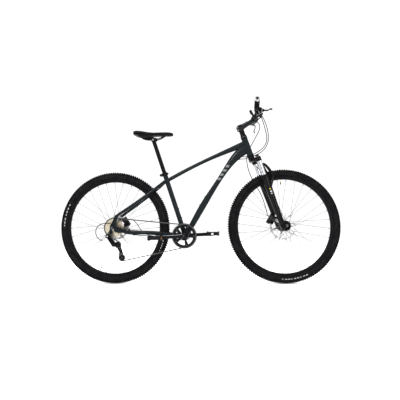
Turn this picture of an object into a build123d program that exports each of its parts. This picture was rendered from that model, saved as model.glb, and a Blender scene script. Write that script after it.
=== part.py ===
from build123d import *
from math import acos, asin, atan2, cos, degrees, hypot, pi, radians, sin, tan
import os

# Hardtail 29-inch mountain bike, one chainring and eight cogs, disc brakes front and rear.
# Millimetres. +X forward, +Y to the rider's left, +Z up.
# Origin: on the ground, in the frame's centre plane, straight below the bottom bracket.

# ---------------------------------------------------------------- driving dimensions
TYRE_R = 371.0
TYRE_SECTION_R = 28.0
BB_HEIGHT = 314.4
REAR_CENTRE = 472.3
WHEELBASE = 1121.1
HEAD_ANGLE = 71.0
SEAT_ANGLE = 72.1
FORK_OFFSET = 50.0
STEER_REST = 9.06
FORK_TRAVEL = 80.0

BEAD_R = 311.0
RIM_INNER_R = 304.0
RIM_HALF_WIDTH = 14.0
SPOKES = 32
SPOKE_R = 1.0
SPOKE_CROSSINGS = 3
FRONT_ROTOR_R = 90.0
REAR_ROTOR_R = 80.0
ROTOR_HALF = 0.9

REAR_OLD = 135.0
FRONT_OLD = 100.0
AXLE_R = 5.0

HEAD_LOW = 501.0
HEAD_HIGH = 638.5
HEAD_R = 20.3
STEERER_R = 14.3
SEAT_TUBE_R = 15.9
SEAT_TUBE_LENGTH = 437.0
POST_R = 13.6
POST_TOP = 655.0
POST_LENGTH = 350.0

LEG_Y = 65.0
LEG_AHEAD = 26.0
STANCHION_R = 15.0
CROWN_LOW = 447.0
CROWN_HIGH = 479.0
KNOB_LOW = 482.6
LOWERS_TOP = 347.0

BAR_AHEAD = 106.7
BAR_UP = 724.0
BAR_HALF = 352.0
BAR_CLAMP_R = 15.9
BAR_GRIP_R = 11.1

CHAIN_PITCH = 12.7
RING_TEETH = 36
COG_TEETH = (32, 28, 24, 21, 18, 15, 13, 11)
PULLEY_TEETH = 11
CHAINLINE_RING = -48.0
CHAINLINE_COG = -27.0
COG_SPACING = 4.8
TOOTH_HALF = 0.9
CRANK_LENGTH = 175.0
CRANK_ANGLE = 182.4
CRANK_ARM_INNER = 70.0
CRANK_ARM_OUTER = 84.0
GUARD_R = 82.0
HOSE_R = 2.5

RUNNING = 0.05
PRESS = 0.0

# ---------------------------------------------------------------- reference points
BB = Vector(0, 0, BB_HEIGHT)
REAR_AXLE = Vector(-REAR_CENTRE, 0, TYRE_R)
FRONT_AXLE = Vector(WHEELBASE - REAR_CENTRE, 0, TYRE_R)
STEER_DIR = Vector(-cos(radians(HEAD_ANGLE)), 0, sin(radians(HEAD_ANGLE)))
AHEAD_DIR = Vector(sin(radians(HEAD_ANGLE)), 0, cos(radians(HEAD_ANGLE)))
STEER_ORIGIN = FRONT_AXLE - AHEAD_DIR * FORK_OFFSET
SEAT_DIR = Vector(-cos(radians(SEAT_ANGLE)), 0, sin(radians(SEAT_ANGLE)))
SEAT_REAR = Vector(-sin(radians(SEAT_ANGLE)), 0, -cos(radians(SEAT_ANGLE)))
SIDE = Vector(0, 1, 0)

# Local steering frame: X ahead of the steering axis, Y left, Z up along the axis.
STRAIGHT = Plane(origin=STEER_ORIGIN, x_dir=AHEAD_DIR, z_dir=STEER_DIR).location
STEERED = STRAIGHT * Rot(0, 0, STEER_REST)

nodes = {}


def put(name, *solids, at=None):
    """Store a node made of separate solids, moved by a location if one is given."""
    pieces = []
    for shape in solids:
        for solid in shape.solids():
            pieces.append(at * solid if at else solid)
    nodes[name] = Compound(children=pieces)


# ---------------------------------------------------------------- shape helpers
def rod(start, end, radius, radius_end=None):
    start, end = Vector(*start), Vector(*end)
    plane = Plane(origin=start, z_dir=end - start)
    length = (end - start).length
    if radius_end is None or radius_end == radius:
        return Solid.make_cylinder(radius, length, plane)
    return Solid.make_cone(radius, radius_end, length, plane)


def pipe(start, end, outer, inner):
    start, end = Vector(*start), Vector(*end)
    over = (end - start).normalized()
    return rod(start, end, outer) - rod(start - over, end + over, inner)


def disc_y(centre, radius, half, bore=0.0):
    """A disc or ring whose axis runs along Y."""
    low = Vector(*centre) - SIDE * half
    high = Vector(*centre) + SIDE * half
    return pipe(low, high, radius, bore) if bore else rod(low, high, radius)


def block(centre, size, turn=0.0):
    """A box at a centre, turned about Y."""
    return Pos(*centre) * (Rot(0, turn, 0) * Box(*size))


def plate_y(outline, y_low, y_high):
    """A flat plate in an XZ outline, between two Y values."""
    plane = Plane(origin=(0, y_low, 0), x_dir=(1, 0, 0), z_dir=(0, 1, 0))
    flat = [(x, -z) for x, z in outline]
    return extrude(plane * make_face(Polyline(*flat, close=True)), amount=y_high - y_low)


def link_plate(a, b, ra, rb, y_low, y_high):
    """A plate with two round ends of different radius joined by tangents, in XZ."""
    ax, az = a
    bx, bz = b
    length = hypot(bx - ax, bz - az)
    heading = atan2(bz - az, bx - ax)
    lean = acos((ra - rb) / length)
    corners = []
    for angle, (cx, cz), r in (
        (heading + lean, a, ra),
        (heading + lean, b, rb),
        (heading - lean, b, rb),
        (heading - lean, a, ra),
    ):
        corners.append((cx + r * cos(angle), cz + r * sin(angle)))
    mid = (y_low + y_high) / 2
    half = (y_high - y_low) / 2
    body = plate_y(corners, y_low, y_high)
    return body + disc_y((ax, mid, az), ra, half) + disc_y((bx, mid, bz), rb, half)


def oval_loft(stations):
    """A tube body through (centre, direction, half width along Y, half height)."""
    sections = []
    for centre, direction, half_y, half_h in stations:
        plane = Plane(origin=centre, x_dir=(0, 1, 0), z_dir=direction)
        sections.append(plane * Ellipse(half_y, half_h))
    return loft(sections)


def spin_profile(points, axle):
    """Turn an outline of (radius, y) points about the axle's Y axis."""
    face = make_face(Polyline(*points, close=True))
    return Pos(axle.X, axle.Y, axle.Z) * revolve(face, Axis.Y)


def bent_tube(points, radius, inner=0.0):
    """A tube along straight runs joined by arcs as large as the runs allow."""
    points = [Vector(*p) for p in points]
    radii = []
    for before, here, after in zip(points, points[1:], points[2:]):
        turn = radians((here - before).get_angle(after - here))
        shorter = min((here - before).length, (after - here).length)
        radii.append(0.45 * shorter / tan(turn / 2))
    path = FilletPolyline(*points, radius=radii)
    start = Plane(origin=path @ 0, z_dir=path % 0)
    solid = sweep(start * Circle(radius), path=path)
    if inner:
        solid -= sweep(start * Circle(inner), path=path)
    ratio = solid.volume / (pi * (radius**2 - inner**2) * path.length)
    print("tube", round(path.length, 1), "radii", [round(r, 1) for r in radii], "volume", round(ratio, 4))
    return solid


def pitch_radius(teeth):
    return CHAIN_PITCH / (2 * sin(pi / teeth))


def toothed_face(teeth):
    """Outline of a sprocket: four points a tooth."""
    r = pitch_radius(teeth)
    root, tip = r - 3.6, r + 2.2
    step = 2 * pi / teeth
    points = []
    for tooth in range(teeth):
        middle = tooth * step
        for offset, radius in ((-0.34, root), (-0.10, tip), (0.10, tip), (0.34, root)):
            angle = middle + offset * step
            points.append((radius * cos(angle), radius * sin(angle)))
    return make_face(Polyline(*points, close=True))


def sprocket(teeth, centre, y, bore, half=TOOTH_HALF):
    flat = toothed_face(teeth) - Circle(bore)
    plane = Plane(origin=(centre[0], y - half, centre[1]), x_dir=(1, 0, 0), z_dir=(0, 1, 0))
    return extrude(plane * flat, amount=2 * half)


def around(count, start=0.0):
    """Evenly spaced angles in radians."""
    return [radians(start) + 2 * pi * k / count for k in range(count)]


# ---------------------------------------------------------------- frame tubes
def at(x, z, y=0.0):
    return Vector(x, y, z)


def head_point(ahead, y, up):
    """A point fixed to the frame, in the head tube's own straight frame."""
    return (STRAIGHT * Pos(ahead, y, up)).position


def steered_point(ahead, y, up):
    """A point of the turned handlebar assembly at rest."""
    return (STEERED * Pos(ahead, y, up)).position


def top_tube_body(thinner):
    stations = (
        (at(-112, 682), Vector(1, 0, 0.44), 15.0, 11.8),
        (at(36.7, 758.6), Vector(1, 0, 0.455), 16.0, 11.8),
        (at(190.2, 828.5), Vector(1, 0, 0.45), 17.0, 12.6),
        (at(322.7, 882.0), Vector(1, 0, 0.41), 18.0, 17.6),
        (at(404, 914.0), Vector(1, 0, 0.40), 17.0, 21.5),
    )
    return oval_loft([(c, d, w - thinner, h - thinner) for c, d, w, h in stations])


def down_tube_body(thinner):
    stations = (
        (at(8, 326), Vector(1, 0, 1.52), 21.0, 18.4),
        (at(44.4, 382), Vector(1, 0, 1.54), 21.0, 18.3),
        (at(185.3, 612.9), Vector(1, 0, 1.58), 19.5, 17.6),
        (at(301.7, 783), Vector(1, 0, 1.40), 19.5, 21.8),
        (at(350.5, 838), Vector(1, 0, 0.95), 19.0, 28.5),
        (at(416, 880), Vector(1, 0, 0.52), 17.0, 31.0),
    )
    return oval_loft([(c, d, w - thinner, h - thinner) for c, d, w, h in stations])


def seat_point(along, rear=0.0, y=0.0):
    return BB + SEAT_DIR * along + SEAT_REAR * rear + SIDE * y


WALL = 2.2
SHELL_R = 20.5
SHELL_HALF = 36.5
SHELL_BORE = 17.0
SEAT_BORE = POST_R + RUNNING


def build_front_triangle():
    head_solid = rod(head_point(0, 0, HEAD_LOW + 7), head_point(0, 0, HEAD_HIGH - 12), HEAD_R)
    head_core = rod(head_point(0, 0, HEAD_LOW), head_point(0, 0, HEAD_HIGH), 18.0)
    shell_solid = rod(BB - SIDE * SHELL_HALF, BB + SIDE * SHELL_HALF, SHELL_R)
    shell_core = rod(BB - SIDE * 40, BB + SIDE * 40, SHELL_BORE)
    seat_solid = rod(BB, seat_point(SEAT_TUBE_LENGTH), SEAT_TUBE_R)
    seat_core = rod(BB, seat_point(SEAT_TUBE_LENGTH + 5), SEAT_BORE)
    top_outer = top_tube_body(0.0)
    put("head_tube", head_solid - head_core)
    put("bottom_bracket_shell", shell_solid - shell_core)
    put("seat_tube", seat_solid - seat_core - shell_solid)
    put("top_tube", largest(top_outer - top_tube_body(WALL) - head_solid - seat_solid))
    down = down_tube_body(0.0) - down_tube_body(WALL)
    down = down - head_solid - shell_solid - top_outer - seat_solid
    put("down_tube", largest(down))


def largest(shape):
    return max(shape.solids(), key=lambda s: s.volume)


STAY_DROP_Y = 70.5
PLATE_IN = REAR_OLD / 2
PLATE_OUT = PLATE_IN + 6.0


def rear_at(x, z, y=0.0):
    """A point given from the rear axle's ground point."""
    return Vector(x - REAR_CENTRE, y, z)


def build_rear_triangle():
    shell_solid = rod(BB - SIDE * 45, BB + SIDE * 45, SHELL_R)
    seat_solid = rod(BB, seat_point(SEAT_TUBE_LENGTH), SEAT_TUBE_R)
    chain_route = (
        (462, 27.0, 316.0, 9.0, 13.0),
        (420, 33.5, 320.0, 6.5, 13.0),
        (385, 36.8, 322.5, 5.8, 13.0),
        (335, 43.5, 327.0, 7.2, 12.5),
        (180, 58.5, 338.0, 8.0, 11.5),
        (72, STAY_DROP_Y, 349.0, 5.5, 10.5),
    )
    seat_route = (
        (352, 9.0, 684.0),
        (300, 33.0, 640.0),
        (250, 42.0, 602.5),
        (157, 53.0, 535.0),
        (58, 66.0, 469.0),
        (29, STAY_DROP_Y, 449.0),
    )
    chainstays, seatstays, dropouts = [], [], []
    for side in (-1, 1):
        stations = []
        for i, (x, y, z, w, h) in enumerate(chain_route):
            a = chain_route[max(i - 1, 0)]
            b = chain_route[min(i + 1, len(chain_route) - 1)]
            heading = Vector(b[0] - a[0], side * (b[1] - a[1]), b[2] - a[2])
            stations.append((rear_at(x, z, side * y), heading, w, h))
        sections = []
        for centre, heading, w, h in stations:
            plane = Plane(origin=centre, x_dir=heading.cross(Vector(0, 0, 1)), z_dir=heading)
            sections.append(plane * Ellipse(w, h))
        chainstays.append(largest(loft(sections) - shell_solid))
        route = [rear_at(x, z, side * y) for x, y, z in seat_route]
        seatstays.append(largest(bent_tube(route, 9.5) - seat_solid))
        dropouts.append(dropout_plate(side))
    bridge = rod(rear_at(291, 633.5, -33), rear_at(291, 633.5, 33), 6.0)
    bridge = bridge - seatstays[0] - seatstays[1]
    yoke = rod(rear_at(405, 321, -29), rear_at(405, 321, 29), 7.0)
    yoke = yoke - chainstays[0] - chainstays[1]
    stays = [largest(stay - plate) for stay, plate in zip(chainstays + seatstays, dropouts * 2)]
    put("rear_triangle", *stays, largest(yoke), largest(bridge), *dropouts)


def dropout_plate(side):
    """Rear end plate: an axle slot open at the bottom, and horns for both stays."""
    outline = [(-16, 364), (-16, 384), (-6, 398), (10, 430), (18, 456), (40, 452), (34, 424), (24, 398)]
    outline += [(28, 382), (42, 372), (66, 368), (88, 360), (84, 340), (40, 338), (14, 348), (8, 356)]
    if side < 0:
        outline += [(-4, 332), (-20, 322), (-30, 334), (-20, 352)]
    outline = [(x - REAR_CENTRE, z) for x, z in outline]
    low, high = sorted((side * PLATE_IN, side * PLATE_OUT))
    plate = plate_y(outline, low, high)
    slot = disc_y((-REAR_CENTRE, side * 70.5, TYRE_R), AXLE_R + 0.1, 6)
    slot_leg = block((-REAR_CENTRE + 5, side * 70.5, TYRE_R - 12), (2 * AXLE_R + 0.2, 12, 24), 22)
    return largest(plate - slot - slot_leg)


def build_headset():
    """Two pressed cups and two cartridge bearings, all fixed in the head tube."""
    low_cup = pipe(head_point(0, 0, HEAD_LOW), head_point(0, 0, HEAD_LOW + 7), 23.0, 17.0)
    high_cup = pipe(head_point(0, 0, HEAD_HIGH - 12), head_point(0, 0, HEAD_HIGH), 21.5, 17.0)
    low_bearing = pipe(head_point(0, 0, HEAD_LOW), head_point(0, 0, HEAD_LOW + 7), 17.0, STEERER_R + RUNNING)
    high_bearing = pipe(
        head_point(0, 0, HEAD_HIGH - 8), head_point(0, 0, HEAD_HIGH), 17.0, STEERER_R + RUNNING
    )
    put("headset", low_cup, high_cup, low_bearing, high_bearing)


def build_bottom_bracket():
    body = pipe(BB - SIDE * SHELL_HALF, BB + SIDE * SHELL_HALF, SHELL_BORE, 12.5)
    cups = [pipe(BB + SIDE * (s * SHELL_HALF), BB + SIDE * (s * 40.0), 20.0, 12.5) for s in (-1, 1)]
    bearings = [
        pipe(BB + SIDE * (s * 26.0), BB + SIDE * (s * 38.0), 12.5, SPINDLE_R + RUNNING) for s in (-1, 1)
    ]
    put("bottom_bracket", body, *cups, *bearings)


SPINDLE_R = 8.5
REAR_LEVER_DIR = Vector(0.35, 0, 0.94).normalized()
FRONT_LEVER_DIR = Vector(0.30, 0, 0.954).normalized()
QR_ALONG = 430.0
QR_BEHIND = 25.0


def build_seat_clamp():
    """Split collar round the top of the seat tube, its bolt and its nut."""
    low, high = seat_point(421), seat_point(439)
    collar = pipe(low, high, 19.5, SEAT_TUBE_R)
    ears = Plane(origin=seat_point(QR_ALONG, 23.5), x_dir=SEAT_REAR, z_dir=SEAT_DIR) * Box(14, 20, 16)
    split = Plane(origin=seat_point(QR_ALONG, 23), x_dir=SEAT_REAR, z_dir=SEAT_DIR) * Box(20, 2.0, 30)
    core = rod(seat_point(410), seat_point(450), SEAT_TUBE_R)
    pivot = seat_point(QR_ALONG, QR_BEHIND)
    bolt_hole = rod(pivot - SIDE * 20, pivot + SIDE * 20, 2.6)
    collar = collar + ears - core - split - bolt_hole
    bolt = rod(pivot - SIDE * 20, pivot + SIDE * 16, 2.5)
    nut = rod(pivot - SIDE * 20, pivot - SIDE * 10.1, 8.0) - bolt
    block_end = rod(pivot + SIDE * 10.1, pivot + SIDE * 13, 7.0) - bolt
    eye = cam_barrel(pivot + SIDE * 20, SEAT_DIR, 4.0, 3.0, 6.0)
    put("seat_clamp", collar, bolt + eye, nut, block_end)


def cam_barrel(centre, axis, radius, half, reach):
    """The skewer's end: a small cross pin that the lever turns on."""
    pin = rod(centre - axis * half * 2.4, centre + axis * half * 2.4, 2.0)
    stem = rod(centre - SIDE * reach, centre, 2.5)
    return stem + pin


def cam_lever(centre, axis, direction, length):
    """A quick-release lever: two cam cheeks beside the skewer's pin and a flat curved blade."""
    cheeks = []
    for s in (-1, 1):
        cheek = pipe(centre + axis * (s * 3.2), centre + axis * (s * 7.2), 6.5, 2.0 + RUNNING)
        cheeks.append(cheek)
    plane = Plane(origin=centre + direction * 8.5 + SIDE * 1.0, x_dir=direction, z_dir=axis)
    bridge = plane * Pos(1.0, 0, 0) * Box(7, 6, 14.4)
    blade_plane = Plane(origin=centre + direction * (8 + length / 2) + SIDE * 2.0, x_dir=direction, z_dir=axis)
    blade = blade_plane * Box(length, 4.0, 13.0)
    tip = rod(
        centre + direction * (8 + length) + SIDE * 0.0,
        centre + direction * (8 + length) + SIDE * 4.0,
        6.5,
    )
    return cheeks[0] + cheeks[1] + bridge + blade + tip


def build_quick_releases():
    pivot = seat_point(QR_ALONG, QR_BEHIND) + SIDE * 20
    forward = SEAT_REAR * -1
    put("seat_clamp_lever", cam_lever(pivot, SEAT_DIR, forward, 34.0))
    for name, axle, face, place in (
        ("rear", REAR_AXLE, PLATE_OUT, None),
        ("front", Vector(FORK_OFFSET, 0, 0), 58.0, STEERED),
    ):
        direction = REAR_LEVER_DIR if name == "rear" else FRONT_LEVER_DIR
        axis = direction.cross(SIDE).normalized()
        end = axle + SIDE * (face + 10)
        put(name + "_axle_lever", cam_lever(end, axis, direction, 44.0), at=place)


def build_axles():
    """Each wheel's fixed axle, bearing cones, locknuts, skewer and end nut."""
    for name, axle, half, face, place in (
        ("rear_axle", REAR_AXLE, REAR_OLD / 2, PLATE_OUT, None),
        ("front_axle", Vector(FORK_OFFSET, 0, 0), FRONT_OLD / 2, 58.0, STEERED),
    ):
        reach = half + 4.0
        shaft = pipe(axle - SIDE * reach, axle + SIDE * reach, AXLE_R, 2.6)
        skewer = rod(axle - SIDE * (face + 9), axle + SIDE * (face + 4), 2.5)
        nut = rod(axle - SIDE * (face + 11), axle - SIDE * face, 9.5, 10.5) - skewer
        cap = rod(axle + SIDE * face, axle + SIDE * (face + 3), 8.5) - skewer
        direction = REAR_LEVER_DIR if place is None else FRONT_LEVER_DIR
        axis = direction.cross(SIDE).normalized()
        eye = cam_barrel(axle + SIDE * (face + 10), axis, 4.0, 3.0, 6.0)
        locknuts = []
        for s in (-1, 1):
            inner = HUB_END[name][0 if s < 0 else 1]
            locknuts.append(pipe(axle + SIDE * (s * inner), axle + SIDE * (s * half), 8.5, AXLE_R))
        put(name, shaft, skewer + eye, nut, cap, *locknuts, at=place)


# Distance from the wheel's middle to the hub's ends: drive side, then disc side.
HUB_END = {"rear_axle": (63.6, 63.0), "front_axle": (46.0, 46.0)}


# ---------------------------------------------------------------- wheels
def rim_profile():
    w = RIM_HALF_WIDTH
    r = BEAD_R
    outer = [(r + 7, w), (r + 7, w - 1.6), (r, w - 1.6), (r, 6), (r - 2, 4)]
    inner = [(RIM_INNER_R, 8), (r - 2, w - 1)]
    mirror_outer = [(radius, -y) for radius, y in reversed(outer)]
    mirror_inner = [(radius, -y) for radius, y in reversed(inner)]
    return outer + mirror_outer + mirror_inner[:2] + inner


def build_tyre(axle):
    """Casing with an open underside and its two beads."""
    middle = TYRE_R - TYRE_SECTION_R
    centre = Pos(middle, 0)
    casing = centre * (Circle(TYRE_SECTION_R) - Circle(TYRE_SECTION_R - 3.6))
    casing -= Pos(BEAD_R - 20, 0) * Rectangle(54, 60)
    for s in (-1, 1):
        casing += Pos(BEAD_R + 4.5, s * (RIM_HALF_WIDTH - 3.9)) * Rectangle(8.5, 3.6)
    return Pos(axle.X, axle.Y, axle.Z) * revolve(casing, Axis.Y)


def valve(axle, angle):
    out = Vector(cos(radians(angle)), 0, sin(radians(angle)))
    stem = rod(axle + out * (RIM_INNER_R - 26), axle + out * (RIM_INNER_R - 0.2), 3.0)
    cap = rod(axle + out * (RIM_INNER_R - 32), axle + out * (RIM_INNER_R - 20), 4.0)
    return stem + cap


def spokes_for(axle, flange_r, left_y, right_y):
    """Three-cross lacing: each flange carries eight leading and eight trailing spokes."""
    solids = []
    per_side = SPOKES // 2
    step = 360.0 / per_side
    for flange_y, phase in ((left_y, 0.0), (right_y, step / 2)):
        for k in range(per_side):
            lean = 1 if k % 2 else -1
            hub_angle = radians(phase + k * step)
            rim_angle = hub_angle + lean * radians(SPOKE_CROSSINGS * step)
            y_hub = flange_y + lean * 2.7
            y_rim = 2.0 if flange_y > 0 else -2.0
            start = axle + Vector(flange_r * cos(hub_angle), y_hub, flange_r * sin(hub_angle))
            reach = RIM_INNER_R - 0.4
            end = axle + Vector(reach * cos(rim_angle), y_rim, reach * sin(rim_angle))
            solids.append(rod(start, end, SPOKE_R))
            nipple_start = end + (start - end).normalized() * 12
            solids[-1] = solids[-1] + rod(nipple_start, end, 2.0)
    return solids


def hub_solid(axle, left_y, right_y, flange_r, ends, barrel_r):
    low, high = -ends[0], ends[1]
    bore = rod(axle + SIDE * (low - 1), axle + SIDE * (high + 1), AXLE_R + RUNNING)
    barrel = rod(axle + SIDE * low, axle + SIDE * high, barrel_r)
    flanges = [disc_y(axle + SIDE * y, flange_r + 3.5, 1.6) for y in (left_y, right_y)]
    mount = rod(axle + SIDE * left_y, axle + SIDE * (high - 8.5), 21.0)
    return barrel + flanges[0] + flanges[1] + mount - bore


def rotor(axle, y, radius):
    """Disc with a braking track, six windows between its arms, and track slots."""
    disc = disc_y(axle + SIDE * y, radius, ROTOR_HALF, 16.5)
    window_reach, window_r = radius * 0.54, radius * 0.18
    for angle in around(6):
        window = Pos(axle.X + window_reach * cos(angle), y, axle.Z + window_reach * sin(angle))
        disc -= window * (Rot(90, 0, 0) * Cylinder(window_r, 6))
    for angle in around(24, 5):
        slot = Pos(axle.X + (radius - 8) * cos(angle), y, axle.Z + (radius - 8) * sin(angle))
        disc -= slot * (Rot(90, 0, 0) * Cylinder(2.6, 6))
    return disc


WHEELS = {
    "front": {"left": 24.0, "right": -33.0, "flange": 26.0, "rotor": 39.4, "rotor_r": FRONT_ROTOR_R, "ends": (45.8, 45.8)},
    "rear": {"left": 33.0, "right": -19.5, "flange": 27.0, "rotor": 52.2, "rotor_r": REAR_ROTOR_R, "ends": (23.5, 62.8)},
}
FRONT_VALVE = 93.7
REAR_VALVE = 250.0


def build_wheels():
    for name, axle, valve_angle, place in (
        ("rear", REAR_AXLE, REAR_VALVE, None),
        ("front", Vector(FORK_OFFSET, 0, 0), FRONT_VALVE - 19.0, STEERED),
    ):
        w = WHEELS[name]
        put(name + "_tyre", build_tyre(axle), valve(axle, valve_angle), at=place)
        put(name + "_rim", spin_profile(rim_profile(), axle), at=place)
        put(name + "_spokes", *spokes_for(axle, w["flange"], w["left"], w["right"]), at=place)
        hub = hub_solid(axle, w["left"], w["right"], w["flange"], w["ends"], 15.0)
        put(name + "_hub", hub, at=place)
        bolts = []
        for angle in around(6, 30):
            centre = axle + Vector(22.0 * 0.85 * cos(angle), w["rotor"] + 2.2, 22.0 * 0.85 * sin(angle))
            bolts.append(disc_y(centre, 1.9, 1.2))
        put(name + "_rotor", rotor(axle, w["rotor"], w["rotor_r"]), *bolts, at=place)


# ---------------------------------------------------------------- fork and cockpit, steering frame
def build_fork():
    steerer = pipe((0, 0, 470), (0, 0, 716), STEERER_R, STEERER_R - 2.2)
    race = rod((0, 0, 484), (0, 0, HEAD_LOW - 0.3), 23.0, 19.0)
    bridge = loft(
        [
            Plane(origin=(8, -LEG_Y, 468), x_dir=(1, 0, 0), z_dir=(0, 1, 0)) * Rectangle(34, 22),
            Plane(origin=(4, 0, 478), x_dir=(1, 0, 0), z_dir=(0, 1, 0)) * Rectangle(52, 22),
            Plane(origin=(8, LEG_Y, 468), x_dir=(1, 0, 0), z_dir=(0, 1, 0)) * Rectangle(34, 22),
        ],
        ruled=True,
    )
    crown = bridge + race
    for s in (-1, 1):
        crown += rod((LEG_AHEAD, s * LEG_Y, CROWN_LOW), (LEG_AHEAD, s * LEG_Y, CROWN_HIGH), 19.5)
    crown = crown - rod((0, 0, 460), (0, 0, 520), STEERER_R)
    for s in (-1, 1):
        crown -= rod((LEG_AHEAD, s * LEG_Y, 430), (LEG_AHEAD, s * LEG_Y, CROWN_HIGH - 3), STANCHION_R)
    put("fork_crown", crown, steerer, at=STEERED)
    stanchions = [
        pipe(
            (LEG_AHEAD, s * LEG_Y, 200), (LEG_AHEAD, s * LEG_Y, CROWN_HIGH - 3), STANCHION_R, STANCHION_R - 2.5
        )
        for s in (-1, 1)
    ]
    put("stanchions", *stanchions, at=STEERED)
    knob = rod((LEG_AHEAD, -LEG_Y, KNOB_LOW), (LEG_AHEAD, -LEG_Y, KNOB_LOW + 10), 13.0, 11.0)
    knob += rod((LEG_AHEAD, -LEG_Y, CROWN_HIGH + 0.75), (LEG_AHEAD, -LEG_Y, KNOB_LOW), 4.0)
    for angle in around(10):
        groove = (LEG_AHEAD + 13.4 * cos(angle), -LEG_Y + 13.4 * sin(angle))
        knob -= rod((*groove, KNOB_LOW - 1), (*groove, KNOB_LOW + 11), 2.0)
    put("fork_knob", knob, at=STEERED)


ARCH = ((50, 62, 286), (72, 61, 318), (77, 57, 352), (67, 44, 402), (58, 20, 426))
ARCH_R = 7.8


def tapered_leg(y, grow=0.0):
    """Outside of a lower leg below its straight top: slim at the ankle, wider towards the arch."""
    ankle = rod((LEG_AHEAD, y, 14), (LEG_AHEAD, y, 120), 17.2 + grow, 18.0 + grow)
    return ankle + rod((LEG_AHEAD, y, 120), (LEG_AHEAD, y, 300), 18.0 + grow, 23.0 + grow)


def build_lowers():
    solids = []
    for s in (-1, 1):
        leg = tapered_leg(s * LEG_Y)
        leg += rod((LEG_AHEAD, s * LEG_Y, 300), (LEG_AHEAD, s * LEG_Y, LOWERS_TOP), 23.5)
        leg += rod((FORK_OFFSET - 4, s * 50.0, 1), (FORK_OFFSET - 4, s * 58.0, 1), 33.5)
        leg += rod((LEG_AHEAD + 2, s * 52.0, 6), (LEG_AHEAD + 2, s * 74.0, 6), 20.0)
        leg += rod((48, s * 62, 282), (74, s * 61, 322), 10.0)
        leg -= rod((LEG_AHEAD, s * LEG_Y, 110), (LEG_AHEAD, s * LEG_Y, 360), STANCHION_R + RUNNING)
        leg -= rod((FORK_OFFSET, s * 40, 0), (FORK_OFFSET, s * 70, 0), AXLE_R + 0.1)
        leg -= Pos(FORK_OFFSET, s * 54, -18) * Box(2 * AXLE_R + 0.2, 12, 36)
        leg -= rod((FORK_OFFSET, s * 58.0, 0), (FORK_OFFSET, s * 90, 0), 16.5)
        solids.append(leg)
    route = [(a, -y, u) for a, y, u in ARCH] + [(a, y, u) for a, y, u in reversed(ARCH)]
    arch = bent_tube(route, ARCH_R)
    cores = [
        rod((LEG_AHEAD, s * LEG_Y, 110), (LEG_AHEAD, s * LEG_Y, 360), STANCHION_R + RUNNING) for s in (-1, 1)
    ]
    lowers = solids[0] + arch + solids[1]
    lowers = lowers - cores[0] - cores[1]
    seals = [
        pipe(
            (LEG_AHEAD, s * LEG_Y, LOWERS_TOP), (LEG_AHEAD, s * LEG_Y, LOWERS_TOP + 8), 19.5, STANCHION_R + RUNNING
        )
        for s in (-1, 1)
    ]
    put("fork_lowers", lowers, *seals, at=STEERED)


def caliper_solid(centre, along, y_disc, shoulder=0.0):
    """Caliper round a rotor: a body with a slot and a window, and a wider shoulder outside it."""
    plane = Plane(origin=(centre[0], y_disc, centre[1]), x_dir=along, z_dir=SIDE)
    body = plane * Box(58, 30, 27)
    body = fillet(body.edges().filter_by(GeomType.LINE), 4)
    slot = plane * Pos(0, -6, 0) * Box(80, 34, 5.4)
    window = plane * Box(30, 44, 14.0)
    body = body - slot - window
    if shoulder:
        body += plane * Pos(0, 12 + shoulder / 2, 0) * Box(72, shoulder, 22)
    return body


def pad_solids(centre, along, y_disc):
    """Two brake pads, each a steel backing and its lining, just clear of the rotor."""
    pads = []
    plane = Plane(origin=(centre[0], y_disc, centre[1]), x_dir=along, z_dir=SIDE)
    for s in (-1, 1):
        pads.append(plane * Pos(0, 0, s * (ROTOR_HALF + 0.6 + 1.5)) * Box(26, 22, 3.0))
    return pads


def build_brakes():
    front_turn = radians(130)
    out = Vector(cos(front_turn), 0, sin(front_turn))
    tangent = Vector(-sin(front_turn), 0, cos(front_turn))
    reach = FRONT_ROTOR_R - 8
    centre = (FORK_OFFSET + reach * out.X, reach * out.Z)
    y = WHEELS["front"]["rotor"]
    body = caliper_solid(centre, tangent, y, 18.0)
    adaptor = Plane(origin=(centre[0] + 10 * out.X, 50.0, centre[1] + 10 * out.Z), x_dir=tangent, z_dir=SIDE) * Box(
        70, 12, 6
    )
    leg = tapered_leg(LEG_Y, 0.1)
    body = largest(body + adaptor - leg - rod((LEG_AHEAD + 2, 52, 6), (LEG_AHEAD + 2, 74, 6), 20.1))
    put("front_caliper", body, *pad_solids(centre, tangent, y), at=STEERED)
    rear_turn = radians(33)
    out = Vector(cos(rear_turn), 0, sin(rear_turn))
    tangent = Vector(-sin(rear_turn), 0, cos(rear_turn))
    reach = REAR_ROTOR_R - 8
    centre = (REAR_AXLE.X + reach * out.X, REAR_AXLE.Z + reach * out.Z)
    y = WHEELS["rear"]["rotor"]
    body = caliper_solid(centre, tangent, y)
    put("rear_caliper", body + rear_bracket(centre, tangent, out), *pad_solids(centre, tangent, y))


def rear_bracket(centre, tangent, out):
    """Arm that carries the rear caliper from the left dropout plate."""
    inner = Plane(origin=(centre[0] + 13 * out.X, 63.0, centre[1] + 13 * out.Z), x_dir=tangent, z_dir=SIDE)
    arm = inner * Box(64, 12, 7)
    foot = plate_y(
        [
            (REAR_AXLE.X + 34, TYRE_R - 20),
            (REAR_AXLE.X + 65, TYRE_R - 20),
            (REAR_AXLE.X + 69, TYRE_R - 6),
            (REAR_AXLE.X + 92, TYRE_R + 24),
            (REAR_AXLE.X + 66, TYRE_R + 50),
            (REAR_AXLE.X + 44, TYRE_R + 20),
        ],
        62.0,
        PLATE_IN,
    )
    return arm + foot


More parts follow.
